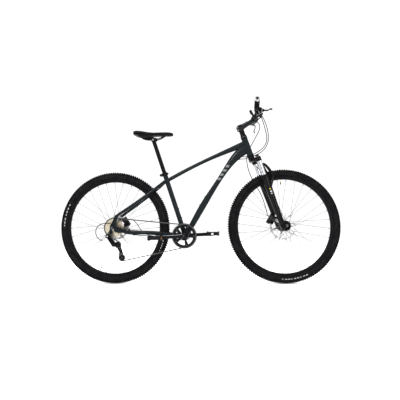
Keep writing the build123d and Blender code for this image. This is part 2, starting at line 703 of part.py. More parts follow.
def bar_point(y):
    """Centre line of the riser bar at a distance from the middle."""
    side = abs(y)
    if side <= 50:
        return Vector(BAR_AHEAD, y, BAR_UP)
    if side <= 115:
        t = (side - 50) / 65
        return Vector(BAR_AHEAD, y, BAR_UP + 17.5 * t)
    t = (side - 115) / (BAR_HALF - 115)
    return Vector(BAR_AHEAD - 27.4 * t, y, BAR_UP + 17.5 + 30.0 * t)


def bar_dir(side):
    return (bar_point(side * BAR_HALF) - bar_point(side * 115)).normalized()


GRIP_START = 224.0
LEVER_Y = 196.0
SHIFT_Y = 158.0


def build_cockpit():
    spacers = rod((0, 0, HEAD_HIGH + 0.3), (0, 0, HEAD_HIGH + 12), 21.0, 17.5)
    spacers += rod((0, 0, HEAD_HIGH + 12), (0, 0, 680), 17.0)
    spacers = spacers - rod((0, 0, 600), (0, 0, 700), STEERER_R)
    cap = rod((0, 0, 716), (0, 0, 721), 17.0, 15.0) + rod((0, 0, 700), (0, 0, 724), 3.0)
    put("spacers_and_top_cap", spacers, cap, at=STEERED)
    clamp = rod((0, 0, 680), (0, 0, 716), 18.6)
    ear = block((-20, 0, 698), (10, 20, 32))
    reach = loft(
        [
            Plane(origin=(8, 0, 699), x_dir=(0, 1, 0), z_dir=(1, 0, 0.25)) * Rectangle(32, 34),
            Plane(origin=(BAR_AHEAD - 16, 0, BAR_UP - 3), x_dir=(0, 1, 0), z_dir=(1, 0, 0.25)) * Rectangle(40, 36),
        ]
    )
    grip_body = disc_y((BAR_AHEAD, 0, BAR_UP), 21.0, 24.0)
    front_half = Plane(origin=(BAR_AHEAD, 0, BAR_UP), x_dir=(1, 0, 0.25), z_dir=(-0.25, 0, 1))
    cut = front_half * Pos(26, 0, 0) * Box(50, 80, 80)
    bar_core = disc_y((BAR_AHEAD, 0, BAR_UP), BAR_CLAMP_R, 30.0)
    stem = clamp + ear + reach + grip_body
    stem = stem - cut - bar_core - rod((0, 0, 660), (0, 0, 740), STEERER_R) - block((-22, 0, 698), (22, 1.6, 60))
    face_cut = front_half * Pos(-22, 0, 0) * Box(50, 80, 80)
    face = grip_body + front_half * Pos(8, 0, 0) * Box(14, 46, 50)
    face = face - face_cut - bar_core - disc_y((BAR_AHEAD, 0, BAR_UP), 40, 15) + (
        disc_y((BAR_AHEAD, 0, BAR_UP), 21.0, 15.0, BAR_CLAMP_R) - face_cut
    )
    put("stem", largest(stem), largest(face), at=STEERED)
    build_bar()


def build_bar():
    half_bars = []
    for s in (-1, 1):
        centre = rod(bar_point(0), bar_point(s * 48), BAR_CLAMP_R)
        taper = loft(
            [
                Plane(origin=bar_point(s * 48), z_dir=SIDE * s) * Circle(BAR_CLAMP_R),
                Plane(origin=bar_point(s * 68), z_dir=Vector(0, s, 0.2)) * Circle(14.0),
                Plane(origin=bar_point(s * 116), z_dir=bar_dir(s)) * Circle(BAR_GRIP_R + 0.4),
            ]
        )
        straight = rod(bar_point(s * 116), bar_point(s * BAR_HALF), BAR_GRIP_R)
        half_bars.append(centre + taper + straight)
    put("handlebar", half_bars[0] + half_bars[1], at=STEERED)
    grips, rings = [], []
    for s in (-1, 1):
        grips.append(pipe(bar_point(s * GRIP_START), bar_point(s * 343), 16.0, BAR_GRIP_R))
        rings.append(pipe(bar_point(s * 343.2), bar_point(s * 351.5), 16.5, BAR_GRIP_R))
        rings.append(pipe(bar_point(s * 216), bar_point(s * (GRIP_START - 0.2)), 16.5, BAR_GRIP_R))
    put("grips", *grips, *rings, at=STEERED)


LEVER_FALL = Vector(0.86, 0, -0.51)
PIVOT_AHEAD = 41.0
CYLINDER_AHEAD = 25.0
CYLINDER_INNER_Y = 128.0


def lever_pivot(side):
    return bar_point(side * 176) + LEVER_FALL * PIVOT_AHEAD


def lever_out(side):
    """Along the blade, which falls a little towards its tip."""
    return Vector(0, side, -0.20)


def lever_axis(side):
    """The pivot pin is square to the blade's own plane and points up."""
    return LEVER_FALL.cross(lever_out(side)).normalized() * side


def build_levers():
    """Master cylinders clamped on the bar, and the blades that swing on them."""
    bodies = []
    for side, name in ((-1, "right"), (1, "left")):
        axis = lever_axis(side)
        pivot = lever_pivot(side)
        clamp_mid = bar_point(side * LEVER_Y)
        along = bar_dir(side)
        clamp = pipe(clamp_mid - along * 6, clamp_mid + along * 6, 16.5, BAR_GRIP_R)
        inner_end = bar_point(side * CYLINDER_INNER_Y) + LEVER_FALL * CYLINDER_AHEAD
        cylinder = rod(inner_end, bar_point(side * 203) + LEVER_FALL * CYLINDER_AHEAD, 8.0)
        web = Plane(origin=clamp_mid + LEVER_FALL * 18, x_dir=LEVER_FALL, z_dir=along) * Box(20, 13, 12)
        body = clamp + web + cylinder - rod(clamp_mid - along * 30, clamp_mid + along * 30, BAR_GRIP_R)
        # A yoke of two ears reaches ahead of the cylinder, and the blade turns between them.
        for s in (-1, 1):
            ear_mid = pivot + axis * (s * 7.5)
            ear = rod(ear_mid - axis * 1.7, ear_mid + axis * 1.7, 6.5)
            arm_mid = ear_mid - LEVER_FALL * 8
            ear += Plane(origin=arm_mid, x_dir=LEVER_FALL, z_dir=axis) * Box(16, 13, 3.4)
            body += ear
        pin = rod(pivot - axis * 9.2, pivot + axis * 9.2, 2.5)
        bodies.append(body - rod(bar_point(side * 130), bar_point(side * 230), BAR_GRIP_R) + pin)
        put("brake_lever_" + name, lever_blade(side, pivot, axis), at=STEERED)
    put("brake_lever_mounts", *bodies, at=STEERED)


def lever_blade(side, pivot, axis):
    """A two-finger blade with a hooked tip, cranked forward from its pivot."""
    outboard = lever_out(side)
    knee = pivot + LEVER_FALL * 14 + outboard * 26
    middle = pivot + LEVER_FALL * 17 + outboard * 70
    near_tip = pivot + LEVER_FALL * 13 + outboard * 108
    tip = pivot + LEVER_FALL * 20 + outboard * 124
    eye = rod(pivot - axis * 5.3, pivot + axis * 5.3, 5.4)
    blade = eye
    route = [pivot, knee, middle, near_tip, tip]
    widths = (10.4, 11.0, 11.0, 10.5)
    for a, b, width in zip(route, route[1:], widths):
        along = (b - a).normalized()
        middle_point = (a + b) * 0.5
        plane = Plane(origin=middle_point, x_dir=along, z_dir=axis)
        blade += plane * Box((b - a).length, 5.5, width)
        blade += rod(b - axis * (width / 2), b + axis * (width / 2), 2.75 if b is not tip else 4.5)
    return blade - rod(pivot - axis * 8, pivot + axis * 8, 2.5 + RUNNING)


SHIFT_DROP = Vector(-0.10, 0, -0.995)


def build_shifter():
    """Shift pod under the right of the bar, its thumb lever and its release trigger."""
    middle = bar_point(-SHIFT_Y)
    along = bar_dir(-1)
    clamp = pipe(middle - along * 5, middle + along * 5, 15.5, BAR_GRIP_R)
    pod_mid = middle + SHIFT_DROP * 37 + Vector(14, 0, 0)
    pod = rod(pod_mid + Vector(0, 0, 11), pod_mid + Vector(0, 0, -3), 21.0)
    neck = Plane(origin=middle + SHIFT_DROP * 19.5 + Vector(2, 0, 0), x_dir=(1, 0, 0), z_dir=along)
    neck = neck * Box(16, 18, 10)
    outlet = rod(pod_mid + Vector(8, 12, 6), pod_mid + Vector(12, 34, 6), 4.0)
    body = clamp + neck + pod + outlet - rod(middle - along * 40, middle + along * 40, BAR_GRIP_R)
    pin = rod(pod_mid + Vector(0, 0, -20), pod_mid + Vector(0, 0, -3), 3.0)
    put("shifter_body", body + pin, at=STEERED)
    for name, low, reach, spread in (
        ("shift_lever", -11.0, Vector(-41, -12, 0), 5.0),
        ("release_lever", -19.0, Vector(-16, 34, 0), 5.0),
    ):
        hub_low = pod_mid + Vector(0, 0, low)
        hub = rod(hub_low, hub_low + Vector(0, 0, 6), 8.0)
        tip = hub_low + reach + Vector(0, 0, 3)
        arm = Plane(origin=hub_low + reach * 0.5 + Vector(0, 0, 3), x_dir=reach, z_dir=(0, 0, 1))
        lever = hub + arm * Box(reach.length, 2 * spread, 5.0)
        if name == "shift_lever":
            lever += rod(tip - Vector(0, 0, 2.5), tip + Vector(-14, -18, 30), 5.5, 7.0)
            lever += rod(tip + Vector(-14, -18, 24), tip + Vector(-17, -21, 50), 9.0, 8.0)
        else:
            lever += rod(tip - Vector(0, 0, 3.8), tip + Vector(0, 0, 4), 7.5, 6.5)
        put(name, lever - rod(hub_low - Vector(0, 0, 30), hub_low + Vector(0, 0, 6.1), 3.0 + RUNNING), at=STEERED)


# ---------------------------------------------------------------- saddle
SADDLE_PIVOT = seat_point(662.0)


def build_saddle():
    post = pipe(seat_point(POST_TOP - POST_LENGTH), seat_point(POST_TOP - 12), POST_R, POST_R - 2.2)
    neck = rod(seat_point(POST_TOP - 12), seat_point(POST_TOP), POST_R)
    head = rod(SADDLE_PIVOT - SIDE * 17, SADDLE_PIVOT + SIDE * 17, 13.0)
    put("seatpost", post + neck + head)
    cradle = block(SADDLE_PIVOT + Vector(-1, 0, 13), (42, 54, 14))
    cradle += block(SADDLE_PIVOT + Vector(-3, 0, 2), (38, 54, 16))
    cradle = cradle - rod(SADDLE_PIVOT - SIDE * 17.4, SADDLE_PIVOT + SIDE * 17.4, 13.3)
    cradle = cradle - block(SADDLE_PIVOT + Vector(-1, 0, -6), (60, 34.8, 20))
    for s in (-1, 1):
        cradle -= rod(SADDLE_PIVOT + Vector(-60, s * 22, RAIL_UP), SADDLE_PIVOT + Vector(60, s * 22, RAIL_UP), 3.5)
    build_saddle_top(cradle)


RAIL_UP = 14.0
# Distance from the rear axle, half width, top height, underside height.
SADDLE_STATIONS = (
    (133.0, 34.0, 1012.0, 992.0),
    (150.0, 66.0, 1015.0, 984.0),
    (185.0, 73.0, 1012.0, 980.0),
    (225.0, 58.0, 1005.0, 979.0),
    (270.0, 34.0, 1002.0, 979.0),
    (320.0, 23.0, 1004.5, 978.0),
    (375.0, 19.0, 1002.0, 976.0),
    (398.0, 12.0, 995.0, 978.0),
)


# Distance from the rear axle, distance to the side, and depth of the wings that close the cover's flanks.
SADDLE_WINGS = (
    (168.0, 58.0, 1.0),
    (192.0, 58.0, 10.0),
    (213.0, 51.0, 18.0),
    (237.0, 42.0, 17.0),
    (262.0, 30.0, 5.0),
)


def saddle_loft(inset, low_shift, top_shift):
    sections = []
    for x, half_width, top, low in SADDLE_STATIONS:
        wide = half_width - inset
        base = low + low_shift
        rise = (top + top_shift) - base
        plane = Plane(origin=rear_at(x, base), x_dir=(0, 1, 0), z_dir=(1, 0, 0))
        outline = Polyline((-wide, 0), (wide, 0)) + [
            ThreePointArc((wide, 0), (wide * 0.72, rise * 0.74), (0, rise)),
            ThreePointArc((0, rise), (-wide * 0.72, rise * 0.74), (-wide, 0)),
        ]
        sections.append(plane * make_face(outline))
    return loft(sections, ruled=True)


def build_saddle_top(cradle):
    put("saddle_cover", saddle_loft(0.0, 5.3, 0.0))
    base = []
    for x, half_width, _, low in SADDLE_STATIONS:
        plane = Plane(origin=rear_at(x, low + 2.5), x_dir=(0, 1, 0), z_dir=(-1, 0, 0))
        base.append(plane * Rectangle(2 * (half_width - 3), 5.0))
    base = loft(base, ruled=True)
    for s in (-1, 1):
        wing = []
        for x, y, drop in SADDLE_WINGS:
            plane = Plane(origin=rear_at(x, 982.5 - drop / 2, s * y), x_dir=(0, 1, 0), z_dir=(-1, 0, 0))
            wing.append(plane * Rectangle(5.0, drop + 3.0))
        base += loft(wing, ruled=True)
    rails = []
    for s in (-1, 1):
        y = s * 22.0
        level = SADDLE_PIVOT.Z + RAIL_UP
        route = [
            rear_at(344, 978.5, s * 11),
            rear_at(322, 967, s * 16),
            rear_at(298, level, y),
            rear_at(226, level, y),
            rear_at(194, 967, s * 30),
            rear_at(172, 981.5, s * 33),
        ]
        rails.append(bent_tube(route, 3.5))
    cutter = rails[0] + rails[1]
    put("saddle_rails", *rails, cradle)
    put("saddle_base", largest(base - cutter))


# ---------------------------------------------------------------- drivetrain
RING_CENTRE = (BB.X, BB.Z)
COG_CENTRE = (REAR_AXLE.X, REAR_AXLE.Z)
GUIDE_CENTRE = (23.1 - REAR_CENTRE, 259.2)
TENSION_CENTRE = (54.9 - REAR_CENTRE, 175.0)


def build_cassette():
    cogs = []
    for k, teeth in enumerate(COG_TEETH):
        y = CHAINLINE_COG - k * COG_SPACING
        cogs.append(sprocket(teeth, COG_CENTRE, y, 17.0))
        if k:
            cogs.append(disc_y((COG_CENTRE[0], y + COG_SPACING / 2, COG_CENTRE[1]), 19.0, 1.5, 17.0))
    y_out = CHAINLINE_COG - 7 * COG_SPACING - TOOTH_HALF
    body = pipe(REAR_AXLE + SIDE * -23.8, REAR_AXLE + SIDE * y_out, 17.0, AXLE_R + RUNNING)
    lock = pipe(REAR_AXLE + SIDE * y_out, REAR_AXLE + SIDE * (y_out - 2.0), 16.0, 9.5)
    put("cassette", *cogs, body, lock)


def build_derailleur():
    """Rear derailleur hung from the right dropout: knuckles, links and pulley cage."""
    b_axis = (-27.0 - REAR_CENTRE, 318.0)
    p_axis = (9.0 - REAR_CENTRE, 263.0)
    hanger = (-17.0 - REAR_CENTRE, 336.0)
    knuckle = link_plate(b_axis, hanger, 13.0, 9.0, -92.0, -PLATE_OUT)
    bolt = disc_y((hanger[0], -PLATE_OUT - 3, hanger[1]), 7.0, 17.0)
    bolt = bolt - disc_y((hanger[0], -PLATE_IN, hanger[1]), 30.0, 6.0)
    p_body = disc_y((p_axis[0], -46.5, p_axis[1]), 14.0, 10.0)
    links = []
    for dx, dz in ((-7.0, -6.0), (7.0, 6.0)):
        start = Vector(b_axis[0] + dx, -84.0, b_axis[1] + dz)
        end = Vector(p_axis[0] + dx, -50.0, p_axis[1] + dz)
        links.append(rod(start, end, 5.5))
    adjuster = rod((b_axis[0] - 8, -84, b_axis[1] - 10), (-60.0 - REAR_CENTRE, -82, 290.0), 5.5, 4.0)
    body = knuckle + bolt + p_body + links[0] + links[1] + adjuster
    plates = []
    for low, high in ((CHAINLINE_COG - 7.5, CHAINLINE_COG - 6.0), (CHAINLINE_COG + 6.0, CHAINLINE_COG + 7.5)):
        plate = link_plate(GUIDE_CENTRE, TENSION_CENTRE, 13.0, 11.0, low, high)
        plates.append(plate)
    pins = []
    for x, z in (GUIDE_CENTRE, TENSION_CENTRE):
        pins.append(disc_y((x, CHAINLINE_COG, z), 2.5, 7.5))
    cage = plates[0] + plates[1] + pins[0] + pins[1]
    cage += disc_y((GUIDE_CENTRE[0] - 9, CHAINLINE_COG - 8.4, GUIDE_CENTRE[1] + 2), 9.0, 1.0)
    put("rear_derailleur", largest(body - cage), cage)
    for name, (x, z) in (("guide_pulley", GUIDE_CENTRE), ("tension_pulley", TENSION_CENTRE)):
        put(name, sprocket(PULLEY_TEETH, (x, z), CHAINLINE_COG, 2.5 + RUNNING, 1.0))


def tangent_points(c1, r1, s1, c2, r2, s2):
    """Ends of the line that leaves circle 1 and meets circle 2.

    s is the side of the chain that each circle lies on: +1 left of travel, -1 right.
    """
    dx, dz = c2[0] - c1[0], c2[1] - c1[1]
    distance = hypot(dx, dz)
    heading = atan2(dz, dx)
    lean = asin((s1 * r1 - s2 * r2) / distance)
    travel = heading + lean
    nx, nz = -sin(travel), cos(travel)
    start = (c1[0] - s1 * r1 * nx, c1[1] - s1 * r1 * nz)
    end = (c2[0] - s2 * r2 * nx, c2[1] - s2 * r2 * nz)
    return start, end


# Wheels the chain passes in its own direction of travel: centre, pitch radius, side, y.
CHAIN_STOPS = (
    (COG_CENTRE, pitch_radius(COG_TEETH[0]), -1, CHAINLINE_COG),
    (RING_CENTRE, pitch_radius(RING_TEETH), -1, CHAINLINE_RING),
    (TENSION_CENTRE, pitch_radius(PULLEY_TEETH), -1, CHAINLINE_COG),
    (GUIDE_CENTRE, pitch_radius(PULLEY_TEETH), 1, CHAINLINE_COG),
)
PLATE_HALF_HEIGHT = 4.0
PLATE_NEAR = 1.25
PLATE_FAR = 2.35
ROLLER_R = 3.9
ROLLER_HALF = 1.6


def arc_band(centre, r, start, end, turn, y_low, y_high):
    """Part of a flat ring round a sprocket, from one point of contact to the next."""
    a0 = atan2(start[1] - centre[1], start[0] - centre[0])
    a1 = atan2(end[1] - centre[1], end[0] - centre[0])
    sweep_angle = (a1 - a0) * turn
    sweep_angle = sweep_angle % (2 * pi)
    steps = []
    for radius in (r + PLATE_HALF_HEIGHT, r - PLATE_HALF_HEIGHT):
        corners = []
        for part in (0.0, 0.5, 1.0):
            angle = a0 + turn * sweep_angle * part
            corners.append((centre[0] + radius * cos(angle), centre[1] + radius * sin(angle)))
        steps.append(corners)
    outer, inner = steps
    plane = Plane(origin=(0, y_low, 0), x_dir=(1, 0, 0), z_dir=(0, 1, 0))
    flip = [[(x, -z) for x, z in corners] for corners in (outer, inner)]
    outline = [
        ThreePointArc(*flip[0]),
        Line(flip[0][2], flip[1][2]),
        ThreePointArc(*reversed(flip[1])),
        Line(flip[1][0], flip[0][0]),
    ]
    return extrude(plane * make_face(Curve() + outline), amount=y_high - y_low)


CHAIN_LEAD = 40.0


def span_strip(start, y0, end, y1, near, far):
    """One side plate of a straight run. It bends sideways only clear of the teeth."""
    a = Vector(start[0], 0, start[1])
    b = Vector(end[0], 0, end[1])
    length = (b - a).length
    middle = [(0.0, y0), (length, y1)]
    if y0 != y1:
        middle = [(0.0, y0), (CHAIN_LEAD, y0), (length - CHAIN_LEAD, y1), (length, y1)]
    outline = [(x, y + near) for x, y in middle] + [(x, y + far) for x, y in reversed(middle)]
    plane = Plane(origin=a, x_dir=b - a, z_dir=(b - a).cross(SIDE))
    return extrude(plane * make_face(Polyline(*outline, close=True)), amount=PLATE_HALF_HEIGHT, both=True)


def span_rollers(start, y0, end, y1):
    """Rollers between the side plates, from one lead to the other."""
    along = Vector(end[0] - start[0], 0, end[1] - start[1]).normalized()
    a = Vector(start[0], y0, start[1]) + along * CHAIN_LEAD
    b = Vector(end[0], y1, end[1]) - along * CHAIN_LEAD
    count = int((b - a).length / CHAIN_PITCH)
    return [disc_y(a + (b - a) * (k / count), ROLLER_R, ROLLER_HALF) for k in range(1, count)]


def build_chain():
    """Side plates all the way round; rollers on the straight runs only."""
    spans = []
    for stop, following in zip(CHAIN_STOPS, CHAIN_STOPS[1:] + CHAIN_STOPS[:1]):
        start, end = tangent_points(stop[0], stop[1], stop[2], following[0], following[1], following[2])
        spans.append((start, stop[3], end, following[3]))
    chain = None
    for near, far in ((PLATE_NEAR, PLATE_FAR), (-PLATE_FAR, -PLATE_NEAR)):
        for i, (start, y0, end, y1) in enumerate(spans):
            centre, r, side, y = CHAIN_STOPS[(i + 1) % 4]
            leave = spans[(i + 1) % 4][0]
            strip = span_strip(start, y0, end, y1, near, far)
            strip += arc_band(centre, r, end, leave, side, y + near, y + far)
            chain = strip if chain is None else chain + strip
    for span in spans[:2]:
        for roller in span_rollers(*span):
            chain += roller
    put("chain", chain)


def crank_point(side, distance, y):
    """side -1 is the right arm, +1 the left."""
    angle = radians(CRANK_ANGLE if side < 0 else CRANK_ANGLE - 180)
    return Vector(BB.X + distance * cos(angle), y, BB.Z + distance * sin(angle))


def build_crank():
    put("crank_spindle", rod(BB - SIDE * 62, BB + SIDE * 62, SPINDLE_R))
    arms = []
    for side in (-1, 1):
        inner, outer = side * CRANK_ARM_INNER, side * CRANK_ARM_OUTER
        low, high = sorted((inner, outer))
        eye = crank_point(side, CRANK_LENGTH, 0)
        start = crank_point(side, 0, 0)
        arm = link_plate((start.X, start.Z), (eye.X, eye.Z), 17.0, 14.0, low, high)
        boss = rod(BB + SIDE * (side * 50.0), BB + SIDE * inner, 17.0)
        arm = arm + boss - rod(BB - SIDE * 62, BB + SIDE * 62, SPINDLE_R)
        arm -= disc_y((eye.X, (inner + outer) / 2, eye.Z), 7.0, 12)
        if side < 0:
            arm += spider()
        arms.append(arm)
    put("crank_arms", *arms)
    ring = sprocket(RING_TEETH, RING_CENTRE, CHAINLINE_RING, 64.0)
    guard = disc_y((BB.X, CHAINLINE_RING - 4.6, BB.Z), GUARD_R, 1.4, 67.5)
    put("chain_guard", guard)
    bolts = []
    for angle in around(5, -3):
        x, z = BB.X + 64.8 * cos(angle), BB.Z + 64.8 * sin(angle)
        bolts.append(disc_y((x, CHAINLINE_RING - 3.0, z), 3.0, 2.05))
    put("chainring", ring, *bolts)


WINDOW_ANGLE = -39.0


def spider():
    y = -53.0
    disc = disc_y((BB.X, y, BB.Z), 67.4, 1.8, SPINDLE_R)
    for angle in around(5, WINDOW_ANGLE):
        x, z = BB.X + 44 * cos(angle), BB.Z + 44 * sin(angle)
        plane = Plane(origin=(x, y - 6, z), x_dir=(cos(angle), 0, sin(angle)), z_dir=(0, 1, 0))
        disc -= extrude(plane * Ellipse(17.0, 19.0), amount=12)
    return disc


PEDAL_IN = 92.0
PEDAL_WIDTH = 92.0
PEDAL_LONG = 84.0
PEDAL_THICK = 32.0


def build_pedals():
    axles = []
    for side, name in ((-1, "right"), (1, "left")):
        eye = crank_point(side, CRANK_LENGTH, 0)
        inner = side * (CRANK_ARM_INNER + 1)
        axles.append(
            rod((eye.X, inner, eye.Z), (eye.X, side * CRANK_ARM_OUTER, eye.Z), 7.0)
            + rod((eye.X, side * CRANK_ARM_OUTER, eye.Z), (eye.X, side * 90, eye.Z), 8.5)
            + rod((eye.X, side * 90, eye.Z), (eye.X, side * (PEDAL_IN + PEDAL_WIDTH - 8), eye.Z), 4.5)
        )
        middle = side * (PEDAL_IN + PEDAL_WIDTH / 2)
        body = Pos(eye.X, middle, eye.Z) * Box(PEDAL_LONG, PEDAL_WIDTH, PEDAL_THICK)
        for dx in (-22.5, 22.5):
            body -= Pos(eye.X + dx, middle, eye.Z) * Box(23, PEDAL_WIDTH - 20, 60)
        for dx in (-1, 1):
            notch = Pos(eye.X + dx * PEDAL_LONG / 2, middle, eye.Z)
            body -= notch * Box(7.0, 46, 16)
        body -= rod((eye.X, 0, eye.Z), (eye.X, side * (PEDAL_IN + PEDAL_WIDTH - 7), eye.Z), 4.5 + RUNNING)
        reflectors = []
        for dx in (-1, 1):
            reflectors.append(Pos(eye.X + dx * (PEDAL_LONG / 2 - 1.8), middle, eye.Z) * Box(3.4, 46, 16))
        put("pedal_" + name, body, *reflectors)
    put("pedal_axles", *axles)


# ---------------------------------------------------------------- hoses and cable
def build_lines():
    """Brake hoses and shift housing, whole, along the way the bike holds them."""
    shift = [
        steered_point(124.5, -122.4, 716),
        steered_point(130, -105, 708),
        steered_point(136, -78, 685),
        steered_point(140, -54, 646),
        steered_point(140, -32, 602),
        steered_point(132, -8, 562),
        steered_point(108, 16, 535),
        steered_point(74, 31, 521),
        head_point(38, 34, 515),
        head_point(0, 34, 514),
        head_point(-34, 30.5, 515),
        rear_at(846, 833, 25.5),
        rear_at(809, 817, 23),
        rear_at(771, 785, 22.8),
        rear_at(712.8, 700, 22.8),
        rear_at(654.5, 614.9, 22.9),
        rear_at(584.2, 499.5, 23.6),
        rear_at(541.2, 428.9, 24.2),
        rear_at(513.6, 383.9, 24.6),
        rear_at(505, 361, 24.5),
        rear_at(504, 338, 20.5),
        rear_at(504, 316, 11),
        rear_at(494, 297, 1),
        rear_at(473, 288.5, -11),
        rear_at(446, 288, -23),
        rear_at(425, 293, -30),
        rear_at(403, 298, -35),
        rear_at(352, 303, -43),
        rear_at(295, 312, -53),
        rear_at(235, 317.5, -60),
        rear_at(175, 323, -66.5),
        rear_at(122, 331, -75),
        rear_at(76, 349, -80.5),
        rear_at(36, 377, -82),
        rear_at(-6, 398, -83),
        rear_at(-52, 403, -84),
        rear_at(-92, 383, -84.5),
        rear_at(-106, 346, -84),
        rear_at(-96, 312, -83),
        rear_at(-77, 296, -82),
        rear_at(-60.5, 290, -82),
    ]
    put("shift_housing", bent_tube(shift, HOSE_R))
    rear = [
        steered_point(127.0, -126.9, 730.2),
        steered_point(133, -105, 727),
        steered_point(146, -76, 706),
        steered_point(155, -52, 662),
        steered_point(156, -28, 612),
        steered_point(145, 4, 560),
        steered_point(118, 26, 527),
        steered_point(80, 40, 509),
        head_point(38, 43, 504),
        head_point(-4, 42, 503),
        head_point(-40, 36, 504),
        rear_at(839, 815, 30),
        rear_at(808, 801, 25.5),
        rear_at(777, 774, 23.2),
        rear_at(718.8, 696, 22.8),
        rear_at(660.7, 611, 22.9),
        rear_at(590.4, 495.7, 23.6),
        rear_at(547.4, 425.1, 24.2),
        rear_at(519.8, 380.1, 25),
        rear_at(508, 350, 26.5),
        rear_at(504, 324, 27.5),
        rear_at(496, 299, 28.5),
        rear_at(475, 286, 29.5),
        rear_at(444, 285, 31),
        rear_at(402, 295, 36),
        rear_at(352, 301, 43),
        rear_at(297, 308, 53),
        rear_at(240, 313, 62),
        rear_at(192, 326, 73),
        rear_at(160, 352, 75),
        rear_at(140, 386, 68),
        rear_at(118, 414, 62),
        rear_at(98, 428, 58),
    ]
    put("rear_brake_hose", bent_tube(rear, HOSE_R))
    front = [
        (127.0, 126.9, 730.2),
        (134, 110, 728),
        (146, 88, 712),
        (144, 68, 684),
        (122, 54, 651),
        (84, 46, 614),
        (44, 45, 580),
        (8, 48, 546),
        (-18, 53, 506),
        (-30, 55, 460),
        (-34, 56, 414),
        (-31, 57, 364),
        (-22, 60, 314),
        (-12, 65, 264),
        (-8, 67, 214),
        (-10, 66, 166),
        (-14, 62, 132),
        (-17, 54, 110),
        (-15.8, 47, 94),
    ]
    put("front_brake_hose", bent_tube(front, HOSE_R), at=STEERED)
    build_clips()


def build_clips():
    """Clips that hold the housing and the hose on the down tube's left flank and under a stay."""
    clips = []
    for x, z, y in ((747.0, 746.5, 22.5), (622.4, 557.4, 23.0), (551.9, 441.5, 24.0)):
        clips.append(block(rear_at(x, z, y), (8.0, 8.0, 17.0), -58))
    clips.append(block(rear_at(145, 326, -71.0), (8.0, 9.0, 9.0), 8))
    lines = Compound(children=[nodes["shift_housing"].solid(), nodes["rear_brake_hose"].solid()])
    solids = []
    for clip in clips:
        rest = clip
        for line in lines.solids():
            rest = rest - line
        for tube in ("down_tube", "rear_triangle"):
            for part in nodes[tube].solids():
                rest = rest - part
        solids.append(largest(rest))
    put("cable_clips", *solids)


# ---------------------------------------------------------------- assembly
build_front_triangle()
build_rear_triangle()
build_headset()
build_bottom_bracket()
build_seat_clamp()
build_quick_releases()
build_axles()
build_wheels()
build_fork()
build_lowers()
build_brakes()
build_cockpit()
build_levers()
build_shifter()
build_saddle()
build_cassette()
build_derailleur()
build_chain()
build_crank()
build_pedals()
build_lines()

os.makedirs("parts", exist_ok=True)
for name, shape in nodes.items():
    export_step(shape, "parts/" + name + ".step")
print(len(nodes), "nodes")
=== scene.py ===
"""Mountain bike: finished meshes, materials, floor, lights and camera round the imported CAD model.

Lengths are millimetres until a piece is built; the row frame has +X forward, +Y left and +Z up.
The steering assembly is built straight ahead in its own frame and placed turned a little to the left.
"""

from math import asin, atan2, cos, hypot, pi, radians, sin

import bpy
from mathutils import Matrix, Vector
from mathutils.bvhtree import BVHTree
from mathutils.geometry import tessellate_polygon


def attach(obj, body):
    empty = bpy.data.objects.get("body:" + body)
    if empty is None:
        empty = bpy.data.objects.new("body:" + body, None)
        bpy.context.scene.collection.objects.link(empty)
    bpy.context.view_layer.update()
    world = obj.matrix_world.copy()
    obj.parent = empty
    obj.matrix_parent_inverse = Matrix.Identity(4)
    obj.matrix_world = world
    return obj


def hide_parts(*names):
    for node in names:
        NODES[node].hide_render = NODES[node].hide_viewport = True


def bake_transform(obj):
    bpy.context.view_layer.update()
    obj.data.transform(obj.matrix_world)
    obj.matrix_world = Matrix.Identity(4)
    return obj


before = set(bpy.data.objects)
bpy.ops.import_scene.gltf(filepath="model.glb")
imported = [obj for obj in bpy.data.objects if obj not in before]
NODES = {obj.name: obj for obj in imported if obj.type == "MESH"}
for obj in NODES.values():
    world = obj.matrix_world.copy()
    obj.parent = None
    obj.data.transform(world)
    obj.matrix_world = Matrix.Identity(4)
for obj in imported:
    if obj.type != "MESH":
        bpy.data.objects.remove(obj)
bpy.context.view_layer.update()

MM = 0.001
SIDE = Vector((0, 1, 0))

# ---------------------------------------------------------------- driving dimensions, as in the CAD
TYRE_R = 371.0
TYRE_MIDDLE_R = 343.0
BB = Vector((0, 0, 314.4))
REAR_AXLE = Vector((-472.3, 0, TYRE_R))
FRONT_AXLE = Vector((648.8, 0, TYRE_R))
HEAD_ANGLE = radians(71.0)
STEER_REST = radians(9.06)
FORK_OFFSET = 50.0
STEER_DIR = Vector((-cos(HEAD_ANGLE), 0, sin(HEAD_ANGLE)))
AHEAD_DIR = Vector((sin(HEAD_ANGLE), 0, cos(HEAD_ANGLE)))
STEER_ORIGIN = FRONT_AXLE - AHEAD_DIR * FORK_OFFSET
SEAT_ANGLE = radians(72.1)
SEAT_DIR = Vector((-cos(SEAT_ANGLE), 0, sin(SEAT_ANGLE)))

ROW = Matrix.Identity(4)
STRAIGHT = Matrix((
    (AHEAD_DIR.x, 0, STEER_DIR.x, STEER_ORIGIN.x),
    (0, 1, 0, 0),
    (AHEAD_DIR.z, 0, STEER_DIR.z, STEER_ORIGIN.z),
    (0, 0, 0, 1),
))
STEERED = STRAIGHT @ Matrix.Rotation(STEER_REST, 4, "Z")

BAR_AHEAD, BAR_UP, BAR_HALF, GRIP_R = 106.7, 724.0, 352.0, 11.1


def rear_at(x, z, y=0.0):
    """A point given by its distance ahead of the rear axle."""
    return Vector((REAR_AXLE.x + x, y, z))


def bar_point(y):
    """Centre line of the riser bar at a distance from the middle, in the steering frame."""
    side = abs(y)
    if side <= 50:
        return Vector((BAR_AHEAD, y, BAR_UP))
    if side <= 115:
        return Vector((BAR_AHEAD, y, BAR_UP + 17.5 * (side - 50) / 65))
    t = (side - 115) / (BAR_HALF - 115)
    return Vector((BAR_AHEAD - 27.4 * t, y, BAR_UP + 17.5 + 30.0 * t))


# ---------------------------------------------------------------- materials
MATERIALS = {}


